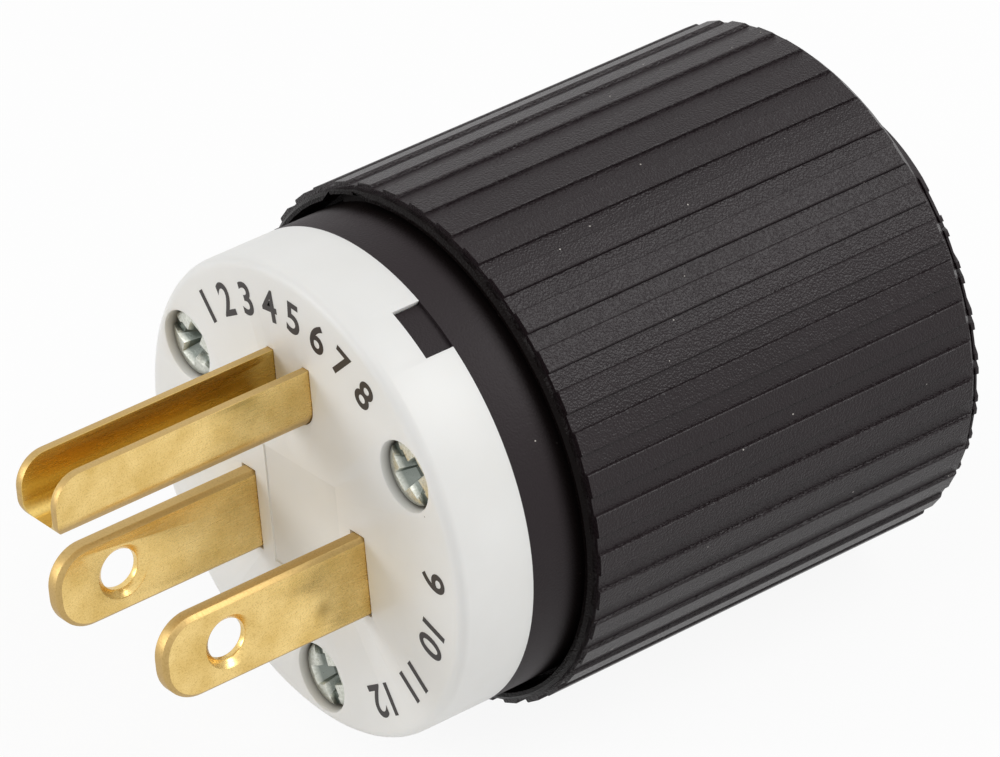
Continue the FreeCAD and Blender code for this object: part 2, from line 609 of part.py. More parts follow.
def clamp_screw(side):
    screw = crowned_screw(CLAMP_HEAD_R, CLAMP_HEAD_HEIGHT, HEAD_CROWN, CLAMP_SHANK_R,
                          CLAMP_HEAD_SEAT + CLAMP_SCREW_END)
    point = vec(-CLAMP_HEAD_SEAT, side * CLAMP_SCREW_SIDE, -REAR_FACE - CLAMP_SCREW_DEPTH)
    return put(screw, point, vec(-1, 0, 0))


def lowest_ridge():
    """Depth below the axis of the ridge edge that the plug lies on."""
    pitch = 360.0 / RIDGE_COUNT
    off = (270.0 - RIDGE_PHASE + pitch / 2.0) % pitch - pitch / 2.0
    beyond = abs(abs(off) - pitch * RIDGE_SHARE / 2.0)
    return RIDGE_R * math.cos(math.radians(beyond))


def lay_down(shape):
    """Turn the upright plug onto its side and centre its length, resting on Z = 0."""
    middle = (REAR_END - GROUND_LENGTH) / 2.0
    placed = shape.copy()
    placed.rotate(vec(0, 0, 0), vec(1, 0, 0), 90.0)
    placed.translate(vec(0, -middle, lowest_ridge()))
    return placed


def build():
    blank = jaw_blank()
    pieces = {"face": face(), "terminal_body": terminal_body(), "housing": housing(),
              "blade_line": blade(-1), "blade_neutral": blade(1), "ground_pin": ground_pin(),
              "clamp_jaw_right": jaw_right(blank), "clamp_jaw_left": jaw_left(blank)}
    for name in ("line", "neutral", "ground"):
        pieces["pressure_plate_" + name] = pressure_plate(name)
        pieces["terminal_screw_" + name] = terminal_screw(name)
    for count, angle in enumerate(SCREW_ANGLES, 1):
        pieces["assembly_screw_%d" % count] = assembly_screw(angle)
        pieces["threaded_insert_%d" % count] = threaded_insert(angle)
    pieces["clamp_screw_upper"] = clamp_screw(1)
    pieces["clamp_screw_lower"] = clamp_screw(-1)
    for name, shape in pieces.items():
        placed = lay_down(shape)
        volume = round(placed.Volume, 1)
        print(name, "valid", placed.isValid(), "solids", len(placed.Solids), "volume", volume)
        placed.exportStep("parts/" + name + ".step")


build()
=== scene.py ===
# %% [markdown]
# # A rewirable plug with brass blades
# The real plug is a pale nylon face screwed through a dark collar into a ribbed barrel, with two flat
# blades and a folded ground pin in front and a cord clamp behind. The measured solids come first, as a
# fixed frame. The place and the size of the face are read from it. Some pieces below are softened
# copies of its solids, and the others are modelled anew from the same sizes, named in millimetres.

import math

import bmesh
import bpy
from mathutils import Matrix, Vector


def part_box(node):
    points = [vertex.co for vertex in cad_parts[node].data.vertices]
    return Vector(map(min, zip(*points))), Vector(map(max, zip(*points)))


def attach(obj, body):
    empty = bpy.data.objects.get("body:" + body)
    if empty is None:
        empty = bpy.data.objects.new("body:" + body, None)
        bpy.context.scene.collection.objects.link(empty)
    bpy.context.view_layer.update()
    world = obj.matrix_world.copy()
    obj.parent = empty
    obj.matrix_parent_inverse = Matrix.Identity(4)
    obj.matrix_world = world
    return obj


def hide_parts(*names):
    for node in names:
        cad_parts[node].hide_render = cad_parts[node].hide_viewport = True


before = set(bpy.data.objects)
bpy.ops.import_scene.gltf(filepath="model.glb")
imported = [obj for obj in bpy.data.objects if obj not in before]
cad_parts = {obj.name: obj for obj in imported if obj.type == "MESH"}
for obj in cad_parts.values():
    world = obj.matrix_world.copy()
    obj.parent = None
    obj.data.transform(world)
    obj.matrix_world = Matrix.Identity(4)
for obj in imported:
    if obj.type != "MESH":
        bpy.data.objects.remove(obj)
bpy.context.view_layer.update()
MM = 0.001
face_low, face_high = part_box("face")
FACE_Y = face_low.y
AXIS_Z = (face_low.z + face_high.z) / 2
FACE_R = (face_high.x - face_low.x) / 2 / MM
FACE_BACK = (face_high.y - face_low.y) / MM
print("plug axis at height", round(AXIS_Z / MM, 2), "mm, face radius", round(FACE_R, 2), "mm")

# %% [markdown]
# ## Colours and nodes
# A colour picked on a screen is sRGB, while a shader works in linear light, so one function turns hex
# values to linear. A second small function adds any node with its settings and links, which keeps the
# materials below as short lists of what they are made of. Sockets whose names repeat are given by
# number: a Mix node takes two colours at 6 and 7 and gives output 2, or two values at 2 and 3 and gives
# output 0. A Map Range node reads the range from 1 to 2 and gives the range from 3 to 4.

# %% Colour and node helpers
def linear(code):
    """A hex sRGB colour as the linear RGBA value that a shader takes."""
    channels = [int(code[i:i + 2], 16) / 255 for i in (1, 3, 5)]
    return (*[c / 12.92 if c <= 0.04045 else ((c + 0.055) / 1.055) ** 2.4 for c in channels], 1.0)


def add_node(tree, kind, settings, inputs):
    """One node with its settings; an input is a plain value or another node's output."""
    node = tree.nodes.new(kind)
    for name, value in settings.items():
        setattr(node, name, value)
    for name, value in inputs.items():
        if isinstance(value, bpy.types.NodeSocket):
            tree.links.new(value, node.inputs[name])
        else:
            node.inputs[name].default_value = value
    return node


def start_material(name):
    """An empty node material and the place of each point, in metres in the plug's own frame."""
    material = bpy.data.materials.new(name)
    material.use_nodes = True
    material.node_tree.nodes.clear()
    place = add_node(material.node_tree, "ShaderNodeTexCoord", {}, {}).outputs["Object"]
    return material, material.node_tree, place


def per_mm(size):
    """Texture scale at which one feature measures the given size in millimetres."""
    return 1.0 / (size * MM)


print("middle grey in linear light:", round(linear("#808080")[0], 4))

# %% [markdown]
# ## Specks
# A used plug carries sparse specks of dirt and dust. They could be painted, but a Voronoi pattern
# scatters them over any shape: each of its cells has one middle point and one random colour, so a speck
# is drawn round the middle of those cells whose colour is dark enough.

# %% Sparse specks for any material
def specks(tree, place, cell, size, share):
    """1 on specks: round the middles of a share of the cells, with cell and size in millimetres."""
    cells = add_node(tree, "ShaderNodeTexVoronoi", {}, {"Vector": place, "Scale": per_mm(cell)})
    near = add_node(tree, "ShaderNodeMath", {"operation": "LESS_THAN"},
                    {0: cells.outputs["Distance"], 1: size / cell})
    chosen = add_node(tree, "ShaderNodeMath", {"operation": "LESS_THAN"},
                      {0: cells.outputs["Color"], 1: share})
    return add_node(tree, "ShaderNodeMath", {"operation": "MULTIPLY"},
                    {0: near.outputs[0], 1: chosen.outputs[0]})


print("a speck pattern with 4 mm cells has the scale", round(per_mm(4.0)))

# %% [markdown]
# ## Moulded pale nylon
# The face is pale moulded nylon: satin and a little translucent, so light softens inside it. Faint
# clouds of colour and shine keep it from looking like plain plastic. Its screw wells and blade slots
# get painted shade, which is found by how far a point lies behind the front.

# %% Pale satin nylon for the face
PALE_LIGHT, PALE_DULL, PALE_SPECK = "#F1F1EF", "#E6E5E1", "#7A756C"
CLOUD_SIZE, PEEL_SIZE, PEEL_STRENGTH, PEEL_HEIGHT = 7.0, 0.35, 0.12, 0.02
PALE_SMOOTHEST, PALE_ROUGHEST, NYLON_IOR = 0.34, 0.5, 1.53
GLOW_WEIGHT, GLOW_REACH = 0.12, (0.9, 0.8, 0.7)
# Painted shade for the wells and slots: its colour, how far out they reach, and below, the depths where it
# starts and is full and its strongest share.
WELL_SHADE, WELLS_WITHIN = "#706C5E", 17.15
WELL_SHADE_START, WELL_SHADE_DEPTH, WELL_SHADE_SHARE = 0.05, 1.0, 0.9


def well_shade(tree, place):
    """The share of painted shade: none on the front and the outer wall, most deep in a well or a slot."""
    outward = add_node(tree, "ShaderNodeVectorMath", {"operation": "MULTIPLY_ADD"},
                       {0: place, 1: (1.0, 0.0, 1.0), 2: (0.0, 0.0, -AXIS_Z)})
    radius = add_node(tree, "ShaderNodeVectorMath", {"operation": "LENGTH"}, {0: outward.outputs[0]})
    within = add_node(tree, "ShaderNodeMath", {"operation": "LESS_THAN"},
                      {0: radius.outputs["Value"], 1: WELLS_WITHIN * MM})
    along = add_node(tree, "ShaderNodeSeparateXYZ", {}, {0: place}).outputs[1]
    sunk = add_node(tree, "ShaderNodeMapRange", {},
                    {0: along, 1: FACE_Y + WELL_SHADE_START * MM, 2: FACE_Y + WELL_SHADE_DEPTH * MM, 4: WELL_SHADE_SHARE})
    return add_node(tree, "ShaderNodeMath", {"operation": "MULTIPLY"},
                    {0: sunk.outputs[0], 1: within.outputs[0]})


def pale_nylon():
    """Moulded nylon: pale, satin and soft in the light, with a few specks and painted shade in the wells."""
    material, tree, place = start_material("pale_satin_nylon")
    dots = specks(tree, place, cell=4.0, size=0.07, share=0.4)
    cloud = add_node(tree, "ShaderNodeTexNoise", {},
                     {"Vector": place, "Scale": per_mm(CLOUD_SIZE), "Detail": 3.0})
    peel = add_node(tree, "ShaderNodeTexNoise", {},
                    {"Vector": place, "Scale": per_mm(PEEL_SIZE), "Detail": 2.0})
    clean = add_node(tree, "ShaderNodeMix", {"data_type": "RGBA"},
                     {0: cloud.outputs[0], 6: linear(PALE_DULL), 7: linear(PALE_LIGHT)})
    specked = add_node(tree, "ShaderNodeMix", {"data_type": "RGBA"},
                       {0: dots.outputs[0], 6: clean.outputs[2], 7: linear(PALE_SPECK)})
    # Painted shade: points deep in a well or slot turn darker.
    painted_well_shade = well_shade(tree, place)
    colour = add_node(tree, "ShaderNodeMix", {"data_type": "RGBA"},
                      {0: painted_well_shade.outputs[0], 6: specked.outputs[2], 7: linear(WELL_SHADE)})
    rough = add_node(tree, "ShaderNodeMapRange", {},
                     {0: cloud.outputs[0], 3: PALE_SMOOTHEST, 4: PALE_ROUGHEST})
    bump = add_node(tree, "ShaderNodeBump", {},
                    {"Strength": PEEL_STRENGTH, "Distance": PEEL_HEIGHT * MM, "Height": peel.outputs[0]})
    shader = add_node(tree, "ShaderNodeBsdfPrincipled", {},
                      {"Base Color": colour.outputs[2], "Roughness": rough.outputs[0], "IOR": NYLON_IOR,
                       "Subsurface Weight": GLOW_WEIGHT, "Subsurface Radius": GLOW_REACH,
                       "Subsurface Scale": MM, "Normal": bump.outputs[0]})
    add_node(tree, "ShaderNodeOutputMaterial", {}, {"Surface": shader.outputs[0]})
    return material


PALE_NYLON = pale_nylon()
print("made", PALE_NYLON.name)

# %% [markdown]
# ## Dark nylon
# The barrel's mould is etched with a leather grain of about a sixth of a millimetre. Pebbles from a
# Voronoi pattern and creases from a noise make it together, as a bump, because real dents this small
# would need millions of faces. The collar and the jaws come from duller moulds with a shallower grain.
# Where the collar passes under the barrel's lip, painted shade makes the gap nearly black.

# %% Dark nylon, plain for the collar and jaws and grained for the barrel
# The third colour below, with the gap's shine and share, is painted shade beside the lip.
DARK_LIGHT, DARK_DULL, GAP_SHADE_COLOUR, DUST = "#21181B", "#191114", "#0A0605", "#B9B4AE"
DARK_SHINE, GAP_SHADE_SHINE, GAP_SHADE_SHARE = 0.26, 0.04, 0.9
PEBBLE_BLUR, PEBBLE_WEIGHT, GRAIN_STRENGTH = 0.5, -0.8, 0.55
# Size and depth of the grain in millimetres, lowest and highest roughness.
DULL_MOULD = (0.16, 0.04, 0.5, 0.62)
ETCHED_MOULD = (0.15, 0.1, 0.3, 0.38)
# Millimetres behind the face where the painted shade starts and where it is full. The last pair lies before
# it.
COLLAR_GAP, LIP_GAP, NO_GAP = (8.7, 10.2), (10.9, 10.5), (0.0, -1.0)


def dark_nylon(name, mould, gap):
    """Moulded nylon: nearly black and slightly brown, with a grained sheen, pale dust and painted shade
    towards a gap.
    """
    grain_size, grain_depth, smoothest, roughest = mould
    material, tree, place = start_material(name)
    cloud = add_node(tree, "ShaderNodeTexNoise", {},
                     {"Vector": place, "Scale": per_mm(CLOUD_SIZE), "Detail": 4.0})
    pebbles = add_node(tree, "ShaderNodeTexVoronoi", {"feature": "SMOOTH_F1"},
                       {"Vector": place, "Scale": per_mm(grain_size), "Smoothness": PEBBLE_BLUR})
    creases = add_node(tree, "ShaderNodeTexNoise", {},
                       {"Vector": place, "Scale": per_mm(grain_size), "Detail": 2.0})
    grain = add_node(tree, "ShaderNodeMath", {"operation": "MULTIPLY_ADD"},
                     {0: pebbles.outputs["Distance"], 1: PEBBLE_WEIGHT, 2: creases.outputs[0]})
    dust = specks(tree, place, cell=1.7, size=0.06, share=0.5)
    along = add_node(tree, "ShaderNodeSeparateXYZ", {}, {0: place}).outputs[1]
    # Painted shade: colour and shine fall off towards the gap, over the span that is given.
    painted_gap_shade = add_node(tree, "ShaderNodeMapRange", {"interpolation_type": "SMOOTHSTEP"},
                     {0: along, 1: FACE_Y + gap[0] * MM, 2: FACE_Y + gap[1] * MM, 4: GAP_SHADE_SHARE})
    plain = add_node(tree, "ShaderNodeMix", {"data_type": "RGBA"},
                     {0: cloud.outputs[0], 6: linear(DARK_DULL), 7: linear(DARK_LIGHT)})
    dusty = add_node(tree, "ShaderNodeMix", {"data_type": "RGBA"},
                     {0: dust.outputs[0], 6: plain.outputs[2], 7: linear(DUST)})
    colour = add_node(tree, "ShaderNodeMix", {"data_type": "RGBA"},
                      {0: painted_gap_shade.outputs[0], 6: dusty.outputs[2], 7: linear(GAP_SHADE_COLOUR)})
    sheen = add_node(tree, "ShaderNodeMapRange", {}, {0: painted_gap_shade.outputs[0], 3: DARK_SHINE, 4: GAP_SHADE_SHINE})
    rough = add_node(tree, "ShaderNodeMapRange", {}, {0: creases.outputs[0], 3: smoothest, 4: roughest})
    bump = add_node(tree, "ShaderNodeBump", {},
                    {"Strength": GRAIN_STRENGTH, "Distance": grain_depth * MM, "Height": grain.outputs[0]})
    shader = add_node(tree, "ShaderNodeBsdfPrincipled", {},
                      {"Base Color": colour.outputs[2], "Roughness": rough.outputs[0], "IOR": NYLON_IOR,
                       "Specular IOR Level": sheen.outputs[0], "Normal": bump.outputs[0]})
    add_node(tree, "ShaderNodeOutputMaterial", {}, {"Surface": shader.outputs[0]})
    return material


COLLAR_NYLON = dark_nylon("dark_collar_nylon", DULL_MOULD, COLLAR_GAP)
GRAIN_NYLON = dark_nylon("dark_leather_grain_nylon", ETCHED_MOULD, LIP_GAP)
JAW_NYLON = dark_nylon("dark_jaw_nylon", DULL_MOULD, NO_GAP)
print("made", COLLAR_NYLON.name, GRAIN_NYLON.name, "and", JAW_NYLON.name)

# %% [markdown]
# ## Where stamped brass changes
# The blades are stamped from brass strip. Their flat sides keep the rolled finish, and their sheared
# edges are duller, partly as rougher cut metal and partly as painted shade for the darker reflection
# they catch. One could give faces to two materials, but which side a point lies on follows from
# its surface normal, so one material serves all three contacts. The ring around each hole is pressed
# and not sheared, so it keeps the shine. One blade has a brown smudge near the face.

# %% Shares of sheared edge, folded inside and smudge
BLADE_Y, HOLE_FROM_FACE, HOLE_RING = -3.14, 11.65, 2.2
HOLE_AT = Vector((0.0, FACE_Y - HOLE_FROM_FACE * MM, AXIS_Z + BLADE_Y * MM))
FLAT_ABOVE, EDGE_BELOW = 0.97, 0.85
FOLD_INSIDE = 1.75
SMUDGE_AT = Vector((7.1 * MM, FACE_Y - 3.9 * MM, AXIS_Z - 4.0 * MM))
SMUDGE_SIZE, SMUDGE_SHARE = 1.1, 0.55


def sheared_edge(tree, place):
    """1 on edges, which don't face sideways as the flat sides do, but 0 in the ring round a hole."""
    normal = add_node(tree, "ShaderNodeNewGeometry", {}, {}).outputs["Normal"]
    sideways = add_node(tree, "ShaderNodeSeparateXYZ", {}, {0: normal}).outputs[0]
    flatness = add_node(tree, "ShaderNodeMath", {"operation": "ABSOLUTE"}, {0: sideways})
    edge = add_node(tree, "ShaderNodeMapRange", {}, {0: flatness.outputs[0], 1: FLAT_ABOVE, 2: EDGE_BELOW})
    from_hole = add_node(tree, "ShaderNodeVectorMath", {"operation": "MULTIPLY_ADD"},
                         {0: place, 1: (0.0, 1.0, 1.0), 2: -HOLE_AT})
    hole_away = add_node(tree, "ShaderNodeVectorMath", {"operation": "LENGTH"}, {0: from_hole.outputs[0]})
    off_hole = add_node(tree, "ShaderNodeMath", {"operation": "GREATER_THAN"},
                        {0: hole_away.outputs["Value"], 1: HOLE_RING * MM})
    return add_node(tree, "ShaderNodeMath", {"operation": "MULTIPLY"},
                    {0: edge.outputs[0], 1: off_hole.outputs[0]})


def folded_inside(tree, place):
    """1 near the plug's middle plane, which holds the inside and the web of the folded pin."""
    across = add_node(tree, "ShaderNodeSeparateXYZ", {}, {0: place}).outputs[0]
    off_middle = add_node(tree, "ShaderNodeMath", {"operation": "ABSOLUTE"}, {0: across})
    return add_node(tree, "ShaderNodeMath", {"operation": "LESS_THAN"},
                    {0: off_middle.outputs[0], 1: FOLD_INSIDE * MM})


def brown_smudge(tree, place):
    """The share of the smudge, strongest in its middle."""
    away = add_node(tree, "ShaderNodeVectorMath", {"operation": "DISTANCE"}, {0: place, 1: SMUDGE_AT})
    return add_node(tree, "ShaderNodeMapRange", {"interpolation_type": "SMOOTHSTEP"},
                    {0: away.outputs["Value"], 1: SMUDGE_SIZE * MM, 2: 0.0, 4: SMUDGE_SHARE})


print("blade holes lie", HOLE_FROM_FACE, "mm from the face, with a shiny ring of", HOLE_RING, "mm")

# %% [markdown]
# ## Stamped brass
# Rolling leaves faint lines along the strip and scattered small pits, and shearing hatches the edges
# across. Lines and hatches are stretched noise, which is cheaper than modelled scratches. Inside the
# folded pin, light bounces several times from brass to brass and turns redder each time, so the base
# colour there is a little greener.

# %% Stamped brass for the three contacts
# The third colour, for sheared edges, is partly duller cut metal and partly painted shade for a darker
# reflection.
BRASS_BRIGHT, BRASS_DULL, BRASS_EDGE_DULL_AND_SHADE = "#F6D790", "#DDBB70", "#C4A66C"
BRASS_FOLD, BRASS_PIT = "#D9BD72", "#866829"
TARNISH_SIZE, TARNISH_FROM, TARNISH_TO = 2.5, 0.3, 0.7
ROLL_WIDTH, ROLL_STRETCH, HATCH_PITCH, HATCH_STRETCH = 0.25, 0.06, 0.22, 0.12
PIT_SIZE, PITS_FROM, PITS_TO, PIT_SHARE = 0.14, 0.48, 0.8, 0.35
ROLLED_SMOOTHEST, ROLLED_ROUGHEST, SHEARED_ROUGH = 0.2, 0.34, 0.46
LINE_STRENGTH, LINE_HEIGHT = 0.4, 0.02


def stamped_brass():
    """Rolled and stamped brass: a warm yellow shine with soft lines, duller and with painted shade on the
    cut edges.
    """
    material, tree, place = start_material("stamped_brass")
    cloud = add_node(tree, "ShaderNodeTexNoise", {},
                     {"Vector": place, "Scale": per_mm(TARNISH_SIZE), "Detail": 6.0})
    along = add_node(tree, "ShaderNodeMapping", {}, {"Vector": place, "Scale": (1.0, ROLL_STRETCH, 1.0)})
    rolled = add_node(tree, "ShaderNodeTexNoise", {},
                      {"Vector": along.outputs[0], "Scale": per_mm(ROLL_WIDTH), "Detail": 4.0})
    across = add_node(tree, "ShaderNodeMapping", {},
                      {"Vector": place, "Scale": (HATCH_STRETCH, 1.0, HATCH_STRETCH)})
    hatch = add_node(tree, "ShaderNodeTexNoise", {},
                     {"Vector": across.outputs[0], "Scale": per_mm(HATCH_PITCH), "Detail": 2.0})
    grit = add_node(tree, "ShaderNodeTexNoise", {},
                    {"Vector": place, "Scale": per_mm(PIT_SIZE), "Detail": 2.0})
    sheared = sheared_edge(tree, place)
    uneven = add_node(tree, "ShaderNodeMapRange", {}, {0: cloud.outputs[0], 1: TARNISH_FROM, 2: TARNISH_TO})
    flat = add_node(tree, "ShaderNodeMix", {"data_type": "RGBA"},
                    {0: uneven.outputs[0], 6: linear(BRASS_DULL), 7: linear(BRASS_BRIGHT)})
    # Sheared edges darken: partly duller cut metal, partly painted shade for the darker reflection they
    # catch.
    edged = add_node(tree, "ShaderNodeMix", {"data_type": "RGBA"},
                     {0: sheared.outputs[0], 6: flat.outputs[2], 7: linear(BRASS_EDGE_DULL_AND_SHADE)})
    folded = folded_inside(tree, place)
    base = add_node(tree, "ShaderNodeMix", {"data_type": "RGBA"},
                    {0: folded.outputs[0], 6: edged.outputs[2], 7: linear(BRASS_FOLD)})
    pits = add_node(tree, "ShaderNodeMapRange", {},
                    {0: grit.outputs[0], 1: PITS_FROM, 2: PITS_TO, 4: PIT_SHARE})
    pitted = add_node(tree, "ShaderNodeMix", {"data_type": "RGBA"},
                      {0: pits.outputs[0], 6: base.outputs[2], 7: linear(BRASS_PIT)})
    smudge = brown_smudge(tree, place)
    colour = add_node(tree, "ShaderNodeMix", {"data_type": "RGBA"},
                      {0: smudge.outputs[0], 6: pitted.outputs[2], 7: linear(BRASS_PIT)})
    height = add_node(tree, "ShaderNodeMix", {},
                      {0: sheared.outputs[0], 2: rolled.outputs[0], 3: hatch.outputs[0]})
    shine = add_node(tree, "ShaderNodeMapRange", {},
                     {0: rolled.outputs[0], 3: ROLLED_SMOOTHEST, 4: ROLLED_ROUGHEST})
    rough = add_node(tree, "ShaderNodeMix", {},
                     {0: sheared.outputs[0], 2: shine.outputs[0], 3: SHEARED_ROUGH})
    bump = add_node(tree, "ShaderNodeBump", {},
                    {"Strength": LINE_STRENGTH, "Distance": LINE_HEIGHT * MM, "Height": height.outputs[0]})
    shader = add_node(tree, "ShaderNodeBsdfPrincipled", {},
                      {"Base Color": colour.outputs[2], "Metallic": 1.0, "Roughness": rough.outputs[0],
                       "Normal": bump.outputs[0]})
    add_node(tree, "ShaderNodeOutputMaterial", {}, {"Surface": shader.outputs[0]})
    return material


BRASS = stamped_brass()
print("made", BRASS.name)

# %% [markdown]
# ## Screws and inserts
# The screws are zinc plated, which is a cool grey with a slightly cloudy shine. Drivers have roughened
# the heads of the three long ones, and their recesses get painted shade, which is drawn by depth. Terminal
# screws are told apart by colour on such plugs: brass for line, pale nickel for neutral, green for
# ground. One function makes all five metals, since only colours and shine differ.

# %% Plated and dyed small metal
# Painted shade in the screw recesses: its colour, and the depths behind the face where it starts and is
# full.
ZINC_RECESS_SHADE, RECESS_SHADE_FROM, RECESS_SHADE_TO = "#7E847E", 0.55, 0.95
# Size of the clouds and of the marks in millimetres, and how strongly the marks show.
CLEAN_MARKS = (1.2, 0.3, 0.35)
DRIVER_MARKS = (0.2, 0.15, 0.7)
MARK_HEIGHT = 0.03


def small_metal(name, bright, dull, smoothest, roughest, worn_and_shaded=False):
    """Turned or plated metal: cloudy colour, fine marks, an uneven shine and maybe painted shade in a
    recess.
    """
    cloud_size, mark_size, mark_strength = DRIVER_MARKS if worn_and_shaded else CLEAN_MARKS
    material, tree, place = start_material(name)
    cloud = add_node(tree, "ShaderNodeTexNoise", {},
                     {"Vector": place, "Scale": per_mm(cloud_size), "Detail": 4.0})
    marks = add_node(tree, "ShaderNodeTexNoise", {},
                     {"Vector": place, "Scale": per_mm(mark_size), "Detail": 3.0})
    colour = add_node(tree, "ShaderNodeMix", {"data_type": "RGBA"},
                      {0: cloud.outputs[0], 6: linear(dull), 7: linear(bright)})
    # Painted shade: the recess turns darker the deeper it lies.
    if worn_and_shaded:
        along = add_node(tree, "ShaderNodeSeparateXYZ", {}, {0: place}).outputs[1]
        depth = add_node(tree, "ShaderNodeMapRange", {},
                         {0: along, 1: FACE_Y + RECESS_SHADE_FROM * MM, 2: FACE_Y + RECESS_SHADE_TO * MM})
        colour = add_node(tree, "ShaderNodeMix", {"data_type": "RGBA"},
                          {0: depth.outputs[0], 6: colour.outputs[2], 7: linear(ZINC_RECESS_SHADE)})
    rough = add_node(tree, "ShaderNodeMapRange", {}, {0: marks.outputs[0], 3: smoothest, 4: roughest})
    bump = add_node(tree, "ShaderNodeBump", {},
                    {"Strength": mark_strength, "Distance": MARK_HEIGHT * MM, "Height": marks.outputs[0]})
    shader = add_node(tree, "ShaderNodeBsdfPrincipled", {},
                      {"Base Color": colour.outputs[2], "Metallic": 1.0, "Roughness": rough.outputs[0],
                       "Normal": bump.outputs[0]})
    add_node(tree, "ShaderNodeOutputMaterial", {}, {"Surface": shader.outputs[0]})
    return material


ZINC = small_metal("bright_zinc_plate", "#DEE0DA", "#BFC3B9", smoothest=0.14, roughest=0.34)
WORN_SHADED_ZINC = small_metal("worn_shaded_zinc_plate", "#F4F5EE", "#A4A798", smoothest=0.2, roughest=0.42,
                          worn_and_shaded=True)
NICKEL = small_metal("nickel_plate", "#D2CDC2", "#BDB6A8", smoothest=0.2, roughest=0.36)
TURNED_BRASS = small_metal("turned_brass", "#D8B469", "#BC9550", smoothest=0.2, roughest=0.36)
GREEN_PLATE = small_metal("green_dyed_plate", "#3E8A52", "#2C6A3E", smoothest=0.25, roughest=0.4)
print("made", ZINC.name, WORN_SHADED_ZINC.name, NICKEL.name, TURNED_BRASS.name, "and", GREEN_PLATE.name)

# %% [markdown]
# ## A bench to model on
# Each piece is modelled in millimetres with the plug standing on its tail: the face lies on Z = 0, the
# blades rise and the barrel hangs below. That makes every turned form a spin about Z. One matrix then
# lays the finished piece down in the plug's own frame, in metres, with its place in the mesh and the
# object left at the origin.

# %% Bench helpers
TIP_OVER = Matrix.Rotation(math.radians(90), 4, "X")
LAY_DOWN = Matrix.Translation((0, FACE_Y, AXIS_Z)) @ TIP_OVER @ Matrix.Scale(MM, 4)
SMOOTH_BELOW = math.radians(32)
WELD_WITHIN, TINY = 1e-4, 1e-6


def turned(bm, points, steps):
    """Spin (radius, height) points once round Z and close the seam and the poles."""
    corners = [bm.verts.new((r, 0, z)) for r, z in points]
    lines = [bm.edges.new(pair) for pair in zip(corners, corners[1:]) if pair[0].co.x + pair[1].co.x > 0]
    bmesh.ops.spin(bm, geom=corners + lines, cent=(0, 0, 0), axis=(0, 0, 1), angle=math.tau, steps=steps,
                   use_merge=True)
    bmesh.ops.remove_doubles(bm, verts=bm.verts, dist=WELD_WITHIN)


def at_angle(radius, degrees, z=0.0):
    """The bench point at a radius and an angle round the plug's axis."""
    turn = math.radians(degrees)
    return Vector((radius * math.cos(turn), radius * math.sin(turn), z))


def turn_round(bm, degrees):
    """Turn a bench model about Z."""
    bmesh.ops.rotate(bm, verts=bm.verts, cent=(0, 0, 0),
                     matrix=Matrix.Rotation(math.radians(degrees), 3, "Z"))


def joined(bm, other):
    """Add another bench model to this one."""
    mesh = bpy.data.meshes.new("join")
    other.to_mesh(mesh)
    other.free()
    bm.from_mesh(mesh)
    bpy.data.meshes.remove(mesh)


print("the middle of the face lies at", [round(c, 4) for c in LAY_DOWN.translation])

# %% [markdown]
# ## From the bench to the scene
# A bench model becomes a mesh with soft shading, in which edges sharper than a set angle stay crisp.
# The mesh then becomes an object that rides on the plug's body, takes its finish and stands
# in for the solids that it replaces.

# %% Finishing helpers
def to_mesh(bm, name):
    """Write a bmesh to a mesh with soft shading and sharp corners."""
    mesh = bpy.data.meshes.new(name)
    bm.to_mesh(mesh)
    bm.free()
    for polygon in mesh.polygons:
        polygon.use_smooth = True
    mesh.set_sharp_from_angle(angle=SMOOTH_BELOW)
    return mesh


def lay(bm, name):
    """Finish a bench model: outward faces, laid down in the plug's frame."""
    bmesh.ops.recalc_face_normals(bm, faces=bm.faces)
    bmesh.ops.transform(bm, matrix=LAY_DOWN, verts=bm.verts)
    return to_mesh(bm, name)


def show(name, mesh, material, slot, *nodes):
    """Put a finished mesh in the scene: it rides on the plug and stands for the given solids."""
    piece = bpy.data.objects.new(name, mesh)
    bpy.context.scene.collection.objects.link(piece)
    mesh.materials.clear()
    mesh.materials.append(material)
    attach(piece, "root")
    if nodes:
        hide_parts(*nodes)
    print(name, len(mesh.polygons), "faces")


print("edges stay sharp above", round(math.degrees(SMOOTH_BELOW)), "degrees")

# %% [markdown]
# ## Rings along the barrel
# The barrel is one moulding: forty flat-topped grip ridges with square front ends, a thin plain lip
# round its mouth and a bevel round its rear rim. It could be a cylinder with forty boxes joined on, but
# a single ring of points, pushed along the axis again and again, keeps it one clean skin. Each push is
# an extrusion whose new points are then moved by a small rule, such as onto a circle.

# %% Pushed rings and the rules that move them
BARREL_R, RIDGE_R, LIP_R, INNER_R = 19.35, 19.6, 18.4, 17.3
REAR, REAR_BEVEL = -45.0, 0.6
SLOT_HALF_X, SLOT_HALF_Y = 11.6, 8.2
KEYWAY_ANGLE, KEYWAY_HALF, KEYWAY_DEPTH, KEYWAY_EASE, KEYWAY_RAMP = 110.0, 6.6, 0.55, 1.2, 1.6


def pushed(bm, ring, move):
    """Extrude a ring of edges once, place each new point with move(point), return the new ring."""
    made = bmesh.ops.extrude_edge_only(bm, edges=ring)["geom"]
    for point in [g for g in made if isinstance(g, bmesh.types.BMVert)]:
        point.co = move(point.co.copy())
    return [g for g in made if isinstance(g, bmesh.types.BMEdge)
            and all(len(v.link_faces) < 3 for v in g.verts) and len(g.link_faces) == 1]


def round_to(radius, z):
    """A move that puts a point on a circle and a height."""
    return lambda p: Vector((p.x, p.y, 0)).normalized() * radius + Vector((0, 0, z))


